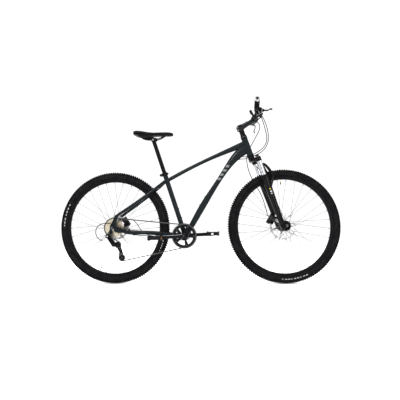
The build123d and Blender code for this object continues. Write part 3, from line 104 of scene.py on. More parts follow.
def material(name, colour, roughness, metallic=0.0, coat=0.0, bump=None, **settings):
    """A principled material. bump is (noise scale, strength, distance in metres)."""
    made = bpy.data.materials.new(name)
    made.use_nodes = True
    tree = made.node_tree
    shader = tree.nodes["Principled BSDF"]
    shader.inputs["Base Color"].default_value = (*colour, 1)
    shader.inputs["Roughness"].default_value = roughness
    shader.inputs["Metallic"].default_value = metallic
    shader.inputs["Coat Weight"].default_value = coat
    for key, value in settings.items():
        shader.inputs[key.replace("_", " ")].default_value = value
    if bump:
        scale, strength, distance = bump
        coordinates = tree.nodes.new("ShaderNodeTexCoord")
        texture = tree.nodes.new("ShaderNodeTexNoise")
        texture.inputs["Scale"].default_value = scale
        texture.inputs["Detail"].default_value = 3
        relief = tree.nodes.new("ShaderNodeBump")
        relief.inputs["Strength"].default_value = strength
        relief.inputs["Distance"].default_value = distance
        tree.links.new(coordinates.outputs["Object"], texture.inputs["Vector"])
        tree.links.new(texture.outputs["Fac"], relief.inputs["Height"])
        tree.links.new(relief.outputs["Normal"], shader.inputs["Normal"])
    MATERIALS[name] = made


def vary_colour(name, other, scale, low=0.4, high=0.65):
    """Mixes a second colour into a material with soft noise."""
    tree = MATERIALS[name].node_tree
    shader = tree.nodes["Principled BSDF"]
    coordinates = tree.nodes.new("ShaderNodeTexCoord")
    texture = tree.nodes.new("ShaderNodeTexNoise")
    texture.inputs["Scale"].default_value = scale
    ramp = tree.nodes.new("ShaderNodeValToRGB")
    ramp.color_ramp.elements[0].position = low
    ramp.color_ramp.elements[1].position = high
    ramp.color_ramp.elements[0].color = shader.inputs["Base Color"].default_value
    ramp.color_ramp.elements[1].color = (*other, 1)
    tree.links.new(coordinates.outputs["Object"], texture.inputs["Vector"])
    tree.links.new(texture.outputs["Fac"], ramp.inputs["Fac"])
    tree.links.new(ramp.outputs["Color"], shader.inputs["Base Color"])


def make_materials():
    dull = {"Specular_IOR_Level": 0.015}
    satin = {"Specular_IOR_Level": 0.04}
    gloss = {"Specular_IOR_Level": 0.16}
    material("frame_paint", (0.0048, 0.0067, 0.0076), 0.34, 0.0, 0.03, bump=(900, 0.08, 0.0002), **satin)
    material("black_gloss", (0.0022, 0.0022, 0.0026), 0.20, 0.0, 0.05, bump=(300, 0.03, 0.0002), **satin)
    material("black_metal", (0.0030, 0.0030, 0.0036), 0.34, bump=(1200, 0.06, 0.0001), **satin)
    material("rim_black", (0.0025, 0.0025, 0.0029), 0.36, bump=(1200, 0.06, 0.0001), **satin)
    material("grey_metal", (0.060, 0.062, 0.066), 0.36, 0.9, bump=(1200, 0.08, 0.0001))
    material("stem_paint", (0.0068, 0.0080, 0.0090), 0.34, 0.0, 0.05, bump=(900, 0.08, 0.0002), **satin)
    material("silver", (0.62, 0.62, 0.64), 0.22, 1.0, bump=(1500, 0.05, 0.0001))
    material("stanchion", (0.42, 0.43, 0.45), 0.18, 1.0, bump=(1500, 0.02, 0.0001))
    # Flat grey for painted highlights: the lit upper edge of the crank arms and a ring on the chain guard.
    material("bright_line", (0.16, 0.165, 0.17), 0.35, 0.4, bump=(1500, 0.05, 0.0001))
    material("ring_grey", (0.36, 0.37, 0.37), 0.30, 0.5, bump=(1500, 0.05, 0.0001))
    material("rotor_steel", (0.50, 0.50, 0.51), 0.28, 1.0, bump=(1400, 0.10, 0.0001))
    material("cassette_steel", (0.50, 0.45, 0.34), 0.30, 1.0, bump=(700, 0.10, 0.0001))
    material("chain_steel", (0.030, 0.029, 0.027), 0.36, 0.3, bump=(1500, 0.08, 0.0001))
    material("spoke_steel", (0.016, 0.016, 0.017), 0.34, 0.0, bump=(1500, 0.03, 0.0001))
    material("brass", (0.55, 0.40, 0.20), 0.30, 1.0, bump=(1500, 0.05, 0.0001))
    material("tyre_rubber", (0.0038, 0.0038, 0.0044), 0.72, bump=(420, 0.35, 0.0004), **dull)
    material("tyre_mark", (0.24, 0.24, 0.235), 0.70, bump=(420, 0.2, 0.0003), **dull)
    material("grip_rubber", (0.0038, 0.0038, 0.0042), 0.70, bump=(500, 0.30, 0.0003), **dull)
    material("saddle_skin", (0.0034, 0.0034, 0.0040), 0.42, bump=(520, 0.30, 0.0003), **satin)
    material("black_plastic", (0.0040, 0.0040, 0.0046), 0.46, bump=(700, 0.12, 0.0002), **satin)
    material("hose_black", (0.0045, 0.0045, 0.0052), 0.40, bump=(900, 0.10, 0.0001), **satin)
    material("reflector_white", (0.62, 0.63, 0.65), 0.18, 0.0, 0.8, bump=(900, 0.5, 0.0006), **gloss)
    material("reflector_amber", (0.55, 0.16, 0.01), 0.18, 0.0, 0.8, bump=(900, 0.5, 0.0006), **gloss)
    material("mark_yellow", (0.34, 0.25, 0.02), 0.45, bump=(900, 0.05, 0.0001), **satin)
    vary_colour("tyre_rubber", (0.0066, 0.0064, 0.0068), 35)
    vary_colour("frame_paint", (0.0060, 0.0082, 0.0092), 12)
    vary_colour("stem_paint", (0.0090, 0.0102, 0.0112), 30)
    vary_colour("black_gloss", (0.0032, 0.0032, 0.0037), 25)
    vary_colour("black_metal", (0.0044, 0.0044, 0.0051), 30)
    vary_colour("rim_black", (0.0038, 0.0038, 0.0043), 30)
    vary_colour("grip_rubber", (0.0058, 0.0058, 0.0062), 45)
    vary_colour("saddle_skin", (0.0050, 0.0050, 0.0056), 40)
    vary_colour("black_plastic", (0.0062, 0.0062, 0.0068), 60)
    vary_colour("hose_black", (0.0068, 0.0068, 0.0074), 50)
    vary_colour("grey_metal", (0.045, 0.046, 0.050), 60)
    vary_colour("silver", (0.50, 0.50, 0.52), 60)
    vary_colour("stanchion", (0.36, 0.37, 0.39), 30)
    vary_colour("spoke_steel", (0.022, 0.022, 0.023), 60)
    vary_colour("rotor_steel", (0.40, 0.40, 0.41), 90)
    vary_colour("cassette_steel", (0.38, 0.34, 0.26), 70)
    vary_colour("chain_steel", (0.020, 0.019, 0.018), 160)


# ---------------------------------------------------------------- shapes
class Shape:
    """Vertices and faces gathered for one piece, with a material name for each face."""

    def __init__(self, default="black_metal"):
        self.verts = []
        self.faces = []
        self.finishes = []
        self.smooth = []
        self.default = default

    def add(self, verts, faces, finish=None, smooth=True):
        base = len(self.verts)
        self.verts.extend(Vector(v) for v in verts)
        for face in faces:
            self.faces.append([base + i for i in face])
            self.finishes.append(finish or self.default)
            self.smooth.append(smooth)

    def build(self, name, body, place=ROW, replaces=(), bevel=0.0, keep_angle=32.0):
        """Makes the mesh object in metres, puts it in the row frame and hangs it on its body."""
        mesh = bpy.data.meshes.new(name)
        points = [(place @ v) * MM for v in self.verts]
        mesh.from_pydata(points, [], self.faces)
        names = sorted(set(self.finishes))
        for finish in names:
            mesh.materials.append(MATERIALS[finish])
        for polygon, finish, smooth in zip(mesh.polygons, self.finishes, self.smooth):
            polygon.material_index = names.index(finish)
            polygon.use_smooth = smooth
        mesh.validate()
        mesh.update()
        mesh.set_sharp_from_angle(angle=radians(keep_angle))
        made = bpy.data.objects.new(name, mesh)
        bpy.context.scene.collection.objects.link(made)
        if bevel:
            edge = made.modifiers.new("edge", "BEVEL")
            edge.width = bevel * MM
            edge.segments = 2
            edge.limit_method = "ANGLE"
            edge.angle_limit = radians(35)
            edge.harden_normals = False
        if body:
            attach(made, body)
        if replaces:
            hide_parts(*replaces)
        return made


def side_axes(direction):
    """Two unit vectors square to a direction."""
    direction = direction.normalized()
    helper = Vector((0, 0, 1)) if abs(direction.z) < 0.9 else Vector((1, 0, 0))
    u = direction.cross(helper).normalized()
    return u, direction.cross(u).normalized()


def ring_faces(rings, count, closed_rings=False, caps=True):
    """Quads between rings of equal length, with flat caps at both ends."""
    faces = []
    last = rings if closed_rings else rings - 1
    for i in range(last):
        a, b = i * count, ((i + 1) % rings) * count
        for k in range(count):
            n = (k + 1) % count
            faces.append((a + k, a + n, b + n, b + k))
    if caps and not closed_rings:
        faces.append(tuple(reversed(range(count))))
        faces.append(tuple(range((rings - 1) * count, rings * count)))
    return faces


def rod(shape, start, end, radius, radius_end=None, finish=None, sides=32, chamfer=0.0):
    """A round bar or cone from start to end, its rims eased by a chamfer."""
    start, end = Vector(start), Vector(end)
    along = (end - start).normalized()
    radius_end = radius if radius_end is None else radius_end
    stops = [(start, radius), (end, radius_end)]
    if chamfer:
        stops = [
            (start, radius - chamfer),
            (start + along * chamfer, radius),
            (end - along * chamfer, radius_end),
            (end, radius_end - chamfer),
        ]
    spin(shape, start, along, [(r, (p - start).dot(along)) for p, r in stops], finish, sides)


def spin(shape, origin, axis, profile, finish=None, sides=64, closed=False):
    """Turns a profile of (radius, distance along the axis) about the axis."""
    origin, axis = Vector(origin), Vector(axis).normalized()
    u, v = side_axes(axis)
    verts = []
    for radius, along in profile:
        for k in range(sides):
            angle = 2 * pi * k / sides
            verts.append(origin + axis * along + (u * cos(angle) + v * sin(angle)) * radius)
    shape.add(verts, ring_faces(len(profile), sides, closed), finish)


def smooth_route(points, spacing=6.0):
    """A centripetal spline through the points, sampled evenly."""
    points = [Vector(p) for p in points]
    padded = [points[0] * 2 - points[1], *points, points[-1] * 2 - points[-2]]
    out = []
    for p0, p1, p2, p3 in zip(padded, padded[1:], padded[2:], padded[3:]):
        t0 = 0.0
        t1 = t0 + max((p1 - p0).length, 1e-6) ** 0.5
        t2 = t1 + max((p2 - p1).length, 1e-6) ** 0.5
        t3 = t2 + max((p3 - p2).length, 1e-6) ** 0.5
        count = max(2, int((p2 - p1).length / spacing))
        for k in range(count):
            t = t1 + (t2 - t1) * k / count
            a1 = p0 * ((t1 - t) / (t1 - t0)) + p1 * ((t - t0) / (t1 - t0))
            a2 = p1 * ((t2 - t) / (t2 - t1)) + p2 * ((t - t1) / (t2 - t1))
            a3 = p2 * ((t3 - t) / (t3 - t2)) + p3 * ((t - t2) / (t3 - t2))
            b1 = a1 * ((t2 - t) / (t2 - t0)) + a2 * ((t - t0) / (t2 - t0))
            b2 = a2 * ((t3 - t) / (t3 - t1)) + a3 * ((t - t1) / (t3 - t1))
            out.append(b1 * ((t2 - t) / (t2 - t1)) + b2 * ((t - t1) / (t2 - t1)))
    out.append(points[-1])
    return out


def sweep(shape, route, radius, finish=None, sides=16, cyclic=False):
    """A tube along a route; radius is a number or one value for each point."""
    count = len(route)
    radii = radius if isinstance(radius, list) else [radius] * count
    u = side_axes(route[1] - route[0])[0]
    verts = []
    for i, point in enumerate(route):
        before = route[i - 1] if i or cyclic else route[0]
        after = route[(i + 1) % count] if i < count - 1 or cyclic else route[-1]
        along = (after - before).normalized()
        u = (u - along * u.dot(along)).normalized()
        v = along.cross(u)
        for k in range(sides):
            angle = 2 * pi * k / sides
            verts.append(point + (u * cos(angle) + v * sin(angle)) * radii[i])
    shape.add(verts, ring_faces(count, sides, cyclic), finish)


def slab(shape, outline, low, high, place=ROW, holes=(), finish=None):
    """A flat plate: an outline in x and y with holes, between two heights along z of its place."""
    loops = [list(outline), *[list(h) for h in holes]]
    flat = [[Vector((x, y, 0)) for x, y in loop] for loop in loops]
    triangles = tessellate_polygon(flat)
    points = [p for loop in flat for p in loop]
    count = len(points)
    verts = [place @ Vector((p.x, p.y, low)) for p in points]
    verts += [place @ Vector((p.x, p.y, high)) for p in points]
    faces = []
    for a, b, c in triangles:
        pa, pb, pc = points[a], points[b], points[c]
        turn = (pb - pa).cross(pc - pa).z
        if turn < 0:
            b, c = c, b
        faces.append((a, c, b))
        faces.append((a + count, b + count, c + count))
    start = 0
    for index, loop in enumerate(flat):
        size = len(loop)
        area = sum(p.x * q.y - q.x * p.y for p, q in zip(loop, loop[1:] + loop[:1]))
        outward = (area > 0) == (index == 0)
        for k in range(size):
            i, j = start + k, start + (k + 1) % size
            if not outward:
                i, j = j, i
            faces.append((i, j, j + count, i + count))
        start += size
    shape.add(verts, faces, finish)


def arc(centre, radius, start, end, steps):
    """Points of a circular arc in degrees, ends included."""
    out = []
    for k in range(steps + 1):
        angle = radians(start + (end - start) * k / steps)
        out.append((centre[0] + radius * cos(angle), centre[1] + radius * sin(angle)))
    return out


def circle(centre, radius, steps=32):
    return arc(centre, radius, 0, 360 * (1 - 1 / steps), steps - 1)


def side_plane(centre):
    """Plate coordinates in the bike's side view: x forward, y up, z towards the left."""
    centre = Vector(centre)
    return Matrix(((1, 0, 0, centre.x), (0, 0, 1, centre.y), (0, 1, 0, centre.z), (0, 0, 0, 1)))


def plane_at(origin, x_axis, z_axis):
    """A placement whose x and z follow the given directions."""
    x, z = Vector(x_axis).normalized(), Vector(z_axis).normalized()
    y = z.cross(x).normalized()
    x = y.cross(z)
    o = Vector(origin)
    return Matrix(((x.x, y.x, z.x, o.x), (x.y, y.y, z.y, o.y), (x.z, y.z, z.z, o.z), (0, 0, 0, 1)))


def brick(shape, place, size, finish=None):
    x, y, z = (s / 2 for s in size)
    slab(shape, [(-x, -y), (x, -y), (x, y), (-x, y)], -z, z, place, finish=finish)


def bolt(shape, centre, axis, radius, height, finish="silver", socket=True):
    """A socket-head bolt: low dome, with a dark hexagonal disc on top as painted shade in its socket recess.
    """
    axis = Vector(axis).normalized()
    centre = Vector(centre)
    spin(
        shape, centre, axis,
        [(radius, 0), (radius, height * 0.7), (radius * 0.85, height), (radius * 0.02, height)],
        finish, 24,
    )
    if socket:
        # Painted shade: a dark hexagon standing just proud of the head, in place of the shadowed recess.
        spin(
            shape, centre, axis, [(radius * 0.5, height * 0.9), (radius * 0.5, height * 1.02)],
            "black_plastic", 6,
        )


# ---------------------------------------------------------------- wheels
def tread_block(shape, place, phi, along, wide, tall, radius):
    """One tread block on the casing: phi is its angle across the section."""
    out = Vector((cos(phi), sin(phi), 0))
    across = Vector((-sin(phi), cos(phi), 0))
    travel = Vector((0, 0, 1))
    base = Vector((TYRE_MIDDLE_R, 0, 0)) + out * radius
    verts = []
    for rise, shrink in ((-1.2, 1.06), (tall * 0.8, 0.94), (tall, 0.78)):
        for sa, sw in ((-1, -1), (1, -1), (1, 1), (-1, 1)):
            point = base + out * rise + travel * (sa * along * shrink / 2) + across * (sw * wide * shrink / 2)
            verts.append(place @ point)
    shape.add(verts, ring_faces(3, 4), "tyre_rubber", smooth=False)


def wheel_plane(axle, angle):
    """Section plane of a wheel at an angle: x outward, y along the axle, z round the rim."""
    x = Vector((cos(angle), 0, sin(angle)))
    z = x.cross(SIDE)
    return Matrix((
        (x.x, 0, z.x, axle.x),
        (x.y, 1, z.y, axle.y),
        (x.z, 0, z.z, axle.z),
        (0, 0, 0, 1),
    ))


FRONT_ROTOR_R, REAR_ROTOR_R = 90.0, 80.0
CASING_R = 21.9
CASING_WIDENING = 1.08
BLOCK_TALL = 6.0
TREAD_STEPS = 150
SPOKES = 32
# Plain printed dashes on the sidewalls: middle angle and spread in degrees, number of dashes.
REAR_MARKS = ((166.0, 28.0, 7), (340.0, 14.0, 5))
FRONT_MARKS = ((280.0, 30.0, 9),)
REAR_VALVE, FRONT_VALVE = 250.0, 93.7
HEAD_LEAN = 19.0


def tyre_piece(name, body, axle, place, marks, valve_angle):
    shape = Shape("tyre_rubber")
    profile = []
    for step in range(-36, 37):
        phi = radians(step * 4.0)
        bulge = CASING_R
        if 112 <= abs(step * 4) <= 120:
            bulge += 0.7
        profile.append((TYRE_MIDDLE_R + bulge * cos(phi), CASING_WIDENING * bulge * sin(phi)))
    profile.append((321.0, 12.2))
    profile.append((314.0, 12.0))
    profile.append((314.0, -12.0))
    profile.append((321.0, -12.2))
    spin(shape, axle, SIDE, profile, "tyre_rubber", 192, closed=True)
    for step in range(TREAD_STEPS):
        turn = 2 * pi * step / TREAD_STEPS
        half = pi / TREAD_STEPS
        rows = [
            (0.0, 0.0, 7.2, 8.5, BLOCK_TALL),
            (0.0, 11.5, 7.2, 6.0, BLOCK_TALL - 0.5),
            (0.0, -11.5, 7.2, 6.0, BLOCK_TALL - 0.5),
            (0.0, 27.0, 7.2, 6.5, BLOCK_TALL - 0.6),
            (0.0, -27.0, 7.2, 6.5, BLOCK_TALL - 0.6),
            (half, 46.0, 8.5, 8.0, BLOCK_TALL - 0.3),
            (half, -46.0, 8.5, 8.0, BLOCK_TALL - 0.3),
            (0.0, 58.0, 6.5, 6.5, BLOCK_TALL - 0.8),
            (0.0, -58.0, 6.5, 6.5, BLOCK_TALL - 0.8),
            (half, 70.0, 5.0, 3.5, 1.2),
            (half, -70.0, 5.0, 3.5, 1.2),
        ]
        for shift, phi, along, wide, tall in rows:
            tread_block(shape, wheel_plane(axle, turn + shift), radians(phi), along, wide, tall, CASING_R)
    for centre_angle, spread, dashes in marks:
        sidewall_marks(shape, axle, centre_angle, spread, dashes)
    direction = Vector((cos(valve_angle), 0, sin(valve_angle)))
    stem_top = axle + direction * 278
    rod(shape, axle + direction * 304, stem_top, 3.0, finish="brass", sides=16)
    rod(shape, axle + direction * 303.6, axle + direction * 301, 5.0, finish="silver", sides=16)
    rod(shape, stem_top + direction * 8, stem_top - direction * 6, 4.0, 3.2, "black_plastic", 16, 0.6)
    return shape.build(name, body, place, (name,))


def sidewall_marks(shape, axle, centre_angle, spread, dashes):
    """Plain printed dashes round the sidewall, on both sides."""
    step = spread / dashes
    for side in (-1, 1):
        for k in range(dashes):
            start = radians(centre_angle - spread / 2 + k * step)
            width = radians(step * (0.62 if k % 3 else 0.38))
            verts = []
            for part in range(5):
                plane = wheel_plane(axle, start + width * part / 4)
                for phi in (90, 95, 100, 105):
                    reach = CASING_R + 0.18
                    angle = radians(phi) * side
                    radius = TYRE_MIDDLE_R + reach * cos(angle)
                    verts.append(plane @ Vector((radius, CASING_WIDENING * reach * sin(angle), 0)))
            faces = []
            for part in range(4):
                for row in range(3):
                    a = part * 4 + row
                    quad = (a, a + 1, a + 5, a + 4)
                    faces.append(quad if side < 0 else tuple(reversed(quad)))
            shape.add(verts, faces, "tyre_mark")


def rim_piece(name, body, axle, place):
    shape = Shape("rim_black")
    half = [(318.2, 12.5), (318.4, 13.6), (317.4, 14.2), (310.0, 13.9), (304.6, 9.2), (303.6, 7.0)]
    inner = [(309.6, 5.0), (311.2, 7.0), (311.4, 12.4)]
    profile = half + [(r, -y) for r, y in reversed(half)] + [(r, -y) for r, y in reversed(inner)] + inner
    spin(shape, axle, SIDE, profile, "rim_black", 192, closed=True)
    for k in range(SPOKES):
        direction = Vector((cos(2 * pi * k / SPOKES), 0, sin(2 * pi * k / SPOKES)))
        offset = SIDE * (2.0 if k % 2 else -2.0)
        rod(shape, axle + direction * 304.8 + offset, axle + direction * 303.0 + offset, 3.2,
            finish="grey_metal", sides=12)
    return shape.build(name, body, place, (name,))


def rotor_piece(name, body, axle, y, size, place):
    """Braking track with two rows of holes, six leaning arms and a bolted centre."""
    shape = Shape("rotor_steel")
    outline = []
    for k in range(144):
        angle = 2 * pi * k / 144
        radius = size - 0.6 + 0.6 * cos(angle * 12)
        outline.append((radius * cos(angle), radius * sin(angle)))
    holes = [circle((0, 0), 17.0, 32)]
    for k in range(36):
        angle = 2 * pi * k / 36
        radius = size - (4.7 if k % 2 else 10.0)
        holes.append(circle((radius * cos(angle), radius * sin(angle)), 1.9, 10))
    for k in range(6):
        start = 60.0 * k
        outer = arc((0, 0), size - 14.5, start + 3, start + 54, 10)
        inner = arc((0, 0), 29.5, start + 38, start + 6, 6)
        holes.append(outer + inner)
    slab(shape, outline, -0.85, 0.85, side_plane(axle + SIDE * y), holes)
    for k in range(6):
        angle = radians(60.0 * k + 22)
        centre = axle + SIDE * y + Vector((23.5 * cos(angle), 0.8, 23.5 * sin(angle)))
        bolt(shape, centre, SIDE, 3.2, 2.0)
    return shape.build(name, body, place, (name,), keep_angle=30)


def hub_piece(name, body, axle, left, right, flange, low, high, place):
    """Hub shell from low to high along the axle, with spoke heads in its two flanges."""
    shape = Shape("black_metal")
    profile = [
        (5.1, low), (13.5, low), (14.8, low + 1.5), (15.0, right - 3.5), (flange + 2.4, right - 2.4),
        (flange + 3.5, right - 1.4), (flange + 3.5, right + 1.4), (flange + 2.0, right + 2.4),
        (15.5, right + 7.0), (14.0, (left + right) / 2), (15.5, left - 7.0), (flange + 2.0, left - 2.4),
        (flange + 3.5, left - 1.4), (flange + 3.5, left + 1.4), (flange + 1.0, left + 2.4),
        (21.0, left + 3.5), (21.0, high - 10.4), (16.0, high - 9.4), (15.0, high), (5.1, high),
    ]
    spin(shape, axle, SIDE, profile, "black_metal", 64, closed=True)
    for y in (left, right):
        for k in range(SPOKES // 2):
            angle = 2 * pi * k / (SPOKES // 2) + (pi / (SPOKES // 2) if y == right else 0)
            direction = Vector((cos(angle), 0, sin(angle)))
            rod(
                shape, axle + direction * flange + SIDE * (y - 2.9),
                axle + direction * flange + SIDE * (y + 2.9),
                1.7, finish="spoke_steel", sides=10,
            )
    return shape.build(name, body, place, (name,))


def build_wheels():
    front_axle = Vector((FORK_OFFSET, 0, 0))
    front_valve = radians(FRONT_VALVE) - radians(HEAD_LEAN)
    turned = tuple((angle - HEAD_LEAN, spread, dashes) for angle, spread, dashes in FRONT_MARKS)
    tyre_piece("rear_tyre", "rear_wheel", REAR_AXLE, ROW, REAR_MARKS, radians(REAR_VALVE))
    tyre_piece("front_tyre", "front_wheel", front_axle, STEERED, turned, front_valve)
    rim_piece("rear_rim", "rear_wheel", REAR_AXLE, ROW)
    rim_piece("front_rim", "front_wheel", front_axle, STEERED)
    rotor_piece("rear_rotor", "rear_wheel", REAR_AXLE, 52.2, REAR_ROTOR_R, ROW)
    rotor_piece("front_rotor", "front_wheel", front_axle, 39.4, FRONT_ROTOR_R, STEERED)
    hub_piece("rear_hub", "rear_wheel", REAR_AXLE, 33.0, -19.5, 27.0, -23.5, 62.8, ROW)
    hub_piece("front_hub", "front_wheel", front_axle, 24.0, -33.0, 26.0, -45.8, 45.8, STEERED)


# ---------------------------------------------------------------- drivetrain
CHAIN_PITCH = 12.7
RING_TEETH = 36
COG_TEETH = (32, 28, 24, 21, 18, 15, 13, 11)
PULLEY_TEETH = 11
RING_Y = -48.0
COG_Y = -27.0
COG_SPACING = 4.8
GUIDE = rear_at(23.1, 259.2, COG_Y)
TENSION = rear_at(54.9, 175.0, COG_Y)
CHAIN_LEAD = 40.0
ROLLER_R = 3.9
# One seat and tooth: share of the tooth's step, and distance from the pitch circle.
TOOTH = ((-0.22, -3.0), (-0.10, -4.0), (0.10, -4.0), (0.22, -3.0), (0.40, 2.6), (0.60, 2.6))


def pitch_radius(teeth):
    return CHAIN_PITCH / (2 * sin(pi / teeth))


def toothed_outline(teeth):
    """Rounded seats between short teeth, as a closed outline."""
    pitch = pitch_radius(teeth)
    step = 2 * pi / teeth
    out = []
    for k in range(teeth):
        seat = k * step
        for share, radius in TOOTH:
            angle = seat + share * step
            out.append(((pitch + radius) * cos(angle), (pitch + radius) * sin(angle)))
    return out


def window(inner, outer, start, end, steps=6):
    """A window between two radii, its ends a little inside the given angles."""
    ease = 2.0
    return (
        arc((0, 0), outer, start + ease, end - ease, steps)
        + arc((0, 0), inner, end - ease * 1.5, start + ease * 1.5, max(2, steps // 2))
    )


def build_cassette():
    shape = Shape("cassette_steel")
    for k, teeth in enumerate(COG_TEETH):
        centre = Vector((REAR_AXLE.x, COG_Y - k * COG_SPACING, REAR_AXLE.z))
        pitch = pitch_radius(teeth)
        holes = [circle((0, 0), 17.0, 32)]
        if pitch > 38:
            count = 8
            for j in range(count):
                start = 360.0 * j / count
                holes.append(window(max(24.0, pitch - 26), pitch - 9.5, start, start + 30))
        slab(shape, toothed_outline(teeth), -0.9, 0.9, side_plane(centre), holes)
        if k:
            middle = centre + SIDE * (COG_SPACING / 2)
            rod(shape, middle - SIDE * 1.5, middle + SIDE * 1.5, 19.0, finish="grey_metal", sides=40)
    outer_y = COG_Y - 7 * COG_SPACING - 0.9
    lock = Vector((REAR_AXLE.x, outer_y, REAR_AXLE.z))
    spin(shape, lock, -SIDE, [(9.5, 0), (16.0, 0), (16.0, 1.4), (14.8, 2.0), (9.5, 2.0)], "silver", 48,
        closed=True)
    spin(
        shape, Vector((REAR_AXLE.x, 0, REAR_AXLE.z)), SIDE,
        [(5.1, -23.8), (17.0, -23.8), (17.0, outer_y), (5.1, outer_y)], "grey_metal", 40, closed=True,
    )
    shape.build("cassette", "cassette", ROW, ("cassette",), keep_angle=25)


def build_pulleys():
    for name, centre in (("guide_pulley", GUIDE), ("tension_pulley", TENSION)):
        shape = Shape("black_plastic")
        holes = [circle((0, 0), 2.6, 20)]
        slab(shape, toothed_outline(PULLEY_TEETH), -1.0, 1.0, side_plane(centre), holes)
        spin(shape, centre, SIDE, [(2.6, -2.0), (7.5, -2.0), (7.5, 2.0), (2.6, 2.0)], "grey_metal", 28,
            closed=True)
        shape.build(name, name, ROW, (name,), keep_angle=25)


def tangent_points(c1, r1, s1, c2, r2, s2):
    """Ends of the line that leaves circle 1 and meets circle 2; s is +1 for a circle left of travel."""
    dx, dz = c2.x - c1.x, c2.z - c1.z
    travel = atan2(dz, dx) + asin((s1 * r1 - s2 * r2) / hypot(dx, dz))
    normal = Vector((-sin(travel), 0, cos(travel)))
    return c1 - normal * (s1 * r1), c2 - normal * (s2 * r2)


def chain_route():
    """The pitch line of the chain as dense points, bending sideways only clear of the teeth."""
    cog = Vector((REAR_AXLE.x, COG_Y, REAR_AXLE.z))
    ring = Vector((BB.x, RING_Y, BB.z))
    stops = [
        (cog, pitch_radius(COG_TEETH[0]), -1),
        (ring, pitch_radius(RING_TEETH), -1),
        (TENSION, pitch_radius(PULLEY_TEETH), -1),
        (GUIDE, pitch_radius(PULLEY_TEETH), 1),
    ]
    spans = []
    for i, (c1, r1, s1) in enumerate(stops):
        c2, r2, s2 = stops[(i + 1) % 4]
        spans.append(tangent_points(c1, r1, s1, c2, r2, s2))
    route = []
    for i, (start, end) in enumerate(spans):
        y0, y1 = stops[i][0].y, stops[(i + 1) % 4][0].y
        length = hypot(end.x - start.x, end.z - start.z)
        for k in range(int(length / 2)):
            run = 2.0 * k
            share = min(1.0, max(0.0, (run - CHAIN_LEAD) / max(1.0, length - 2 * CHAIN_LEAD)))
            point = start.lerp(end, run / length)
            point.y = y0 + (y1 - y0) * share
            route.append(point)
        centre, radius, side = stops[(i + 1) % 4]
        leave = spans[(i + 1) % 4][0]
        a0 = atan2(end.z - centre.z, end.x - centre.x)
        a1 = atan2(leave.z - centre.z, leave.x - centre.x)
        turn = ((a1 - a0) * side) % (2 * pi)
        steps = max(2, int(turn * radius / 2))
        for k in range(steps):
            angle = a0 + side * turn * k / steps
            route.append(Vector((centre.x + radius * cos(angle), y1, centre.z + radius * sin(angle))))
    return route


def even_points(route, pitch):
    """Points a whole number of equal steps round a closed route, near the given pitch."""
    closed = route + [route[0]]
    lengths = [(b - a).length for a, b in zip(closed, closed[1:])]
    total = sum(lengths)
    count = 2 * round(total / pitch / 2)
    step = total / count
    out, run, target = [], 0.0, 0.0
    for a, b, length in zip(closed, closed[1:], lengths):
        while target <= run + length and len(out) < count:
            out.append(a.lerp(b, (target - run) / length))
            target += step
        run += length
    return out


def link_outline(length, half, waist):
    """Side plate of a chain link: two round ends and a narrow waist."""
    right = arc((length / 2, 0), half, -120, 120, 8)
    left = arc((-length / 2, 0), half, 60, 300, 8)
    return right + [(0, waist)] + left + [(0, -waist)]


def build_chain():
    shape = Shape("chain_steel")
    pins = even_points(chain_route(), CHAIN_PITCH)
    for i, pin in enumerate(pins):
        following = pins[(i + 1) % len(pins)]
        along = following - pin
        place = plane_at((pin + following) / 2, along,
            SIDE - along * (SIDE.dot(along) / along.length_squared))
        outline = link_outline(along.length, 4.0, 3.3)
        near, far = (1.25, 2.15) if i % 2 else (2.17, 2.95)
        slab(shape, outline, near, far, place)
        slab(shape, outline, -far, -near, place)
        rod(shape, pin - SIDE * 3.3, pin + SIDE * 3.3, 1.9, finish="chain_steel", sides=12)
        rod(shape, pin - SIDE * 1.24, pin + SIDE * 1.24, ROLLER_R, finish="chain_steel", sides=16)
    shape.build("chain", "frame", ROW, ("chain",), keep_angle=28)


CRANK_ANGLE = radians(182.4)
CRANK_LENGTH = 175.0
SPIDER_START = -39.0


def crank_direction(side):
    angle = CRANK_ANGLE if side < 0 else CRANK_ANGLE - pi
    return Vector((cos(angle), 0, sin(angle)))


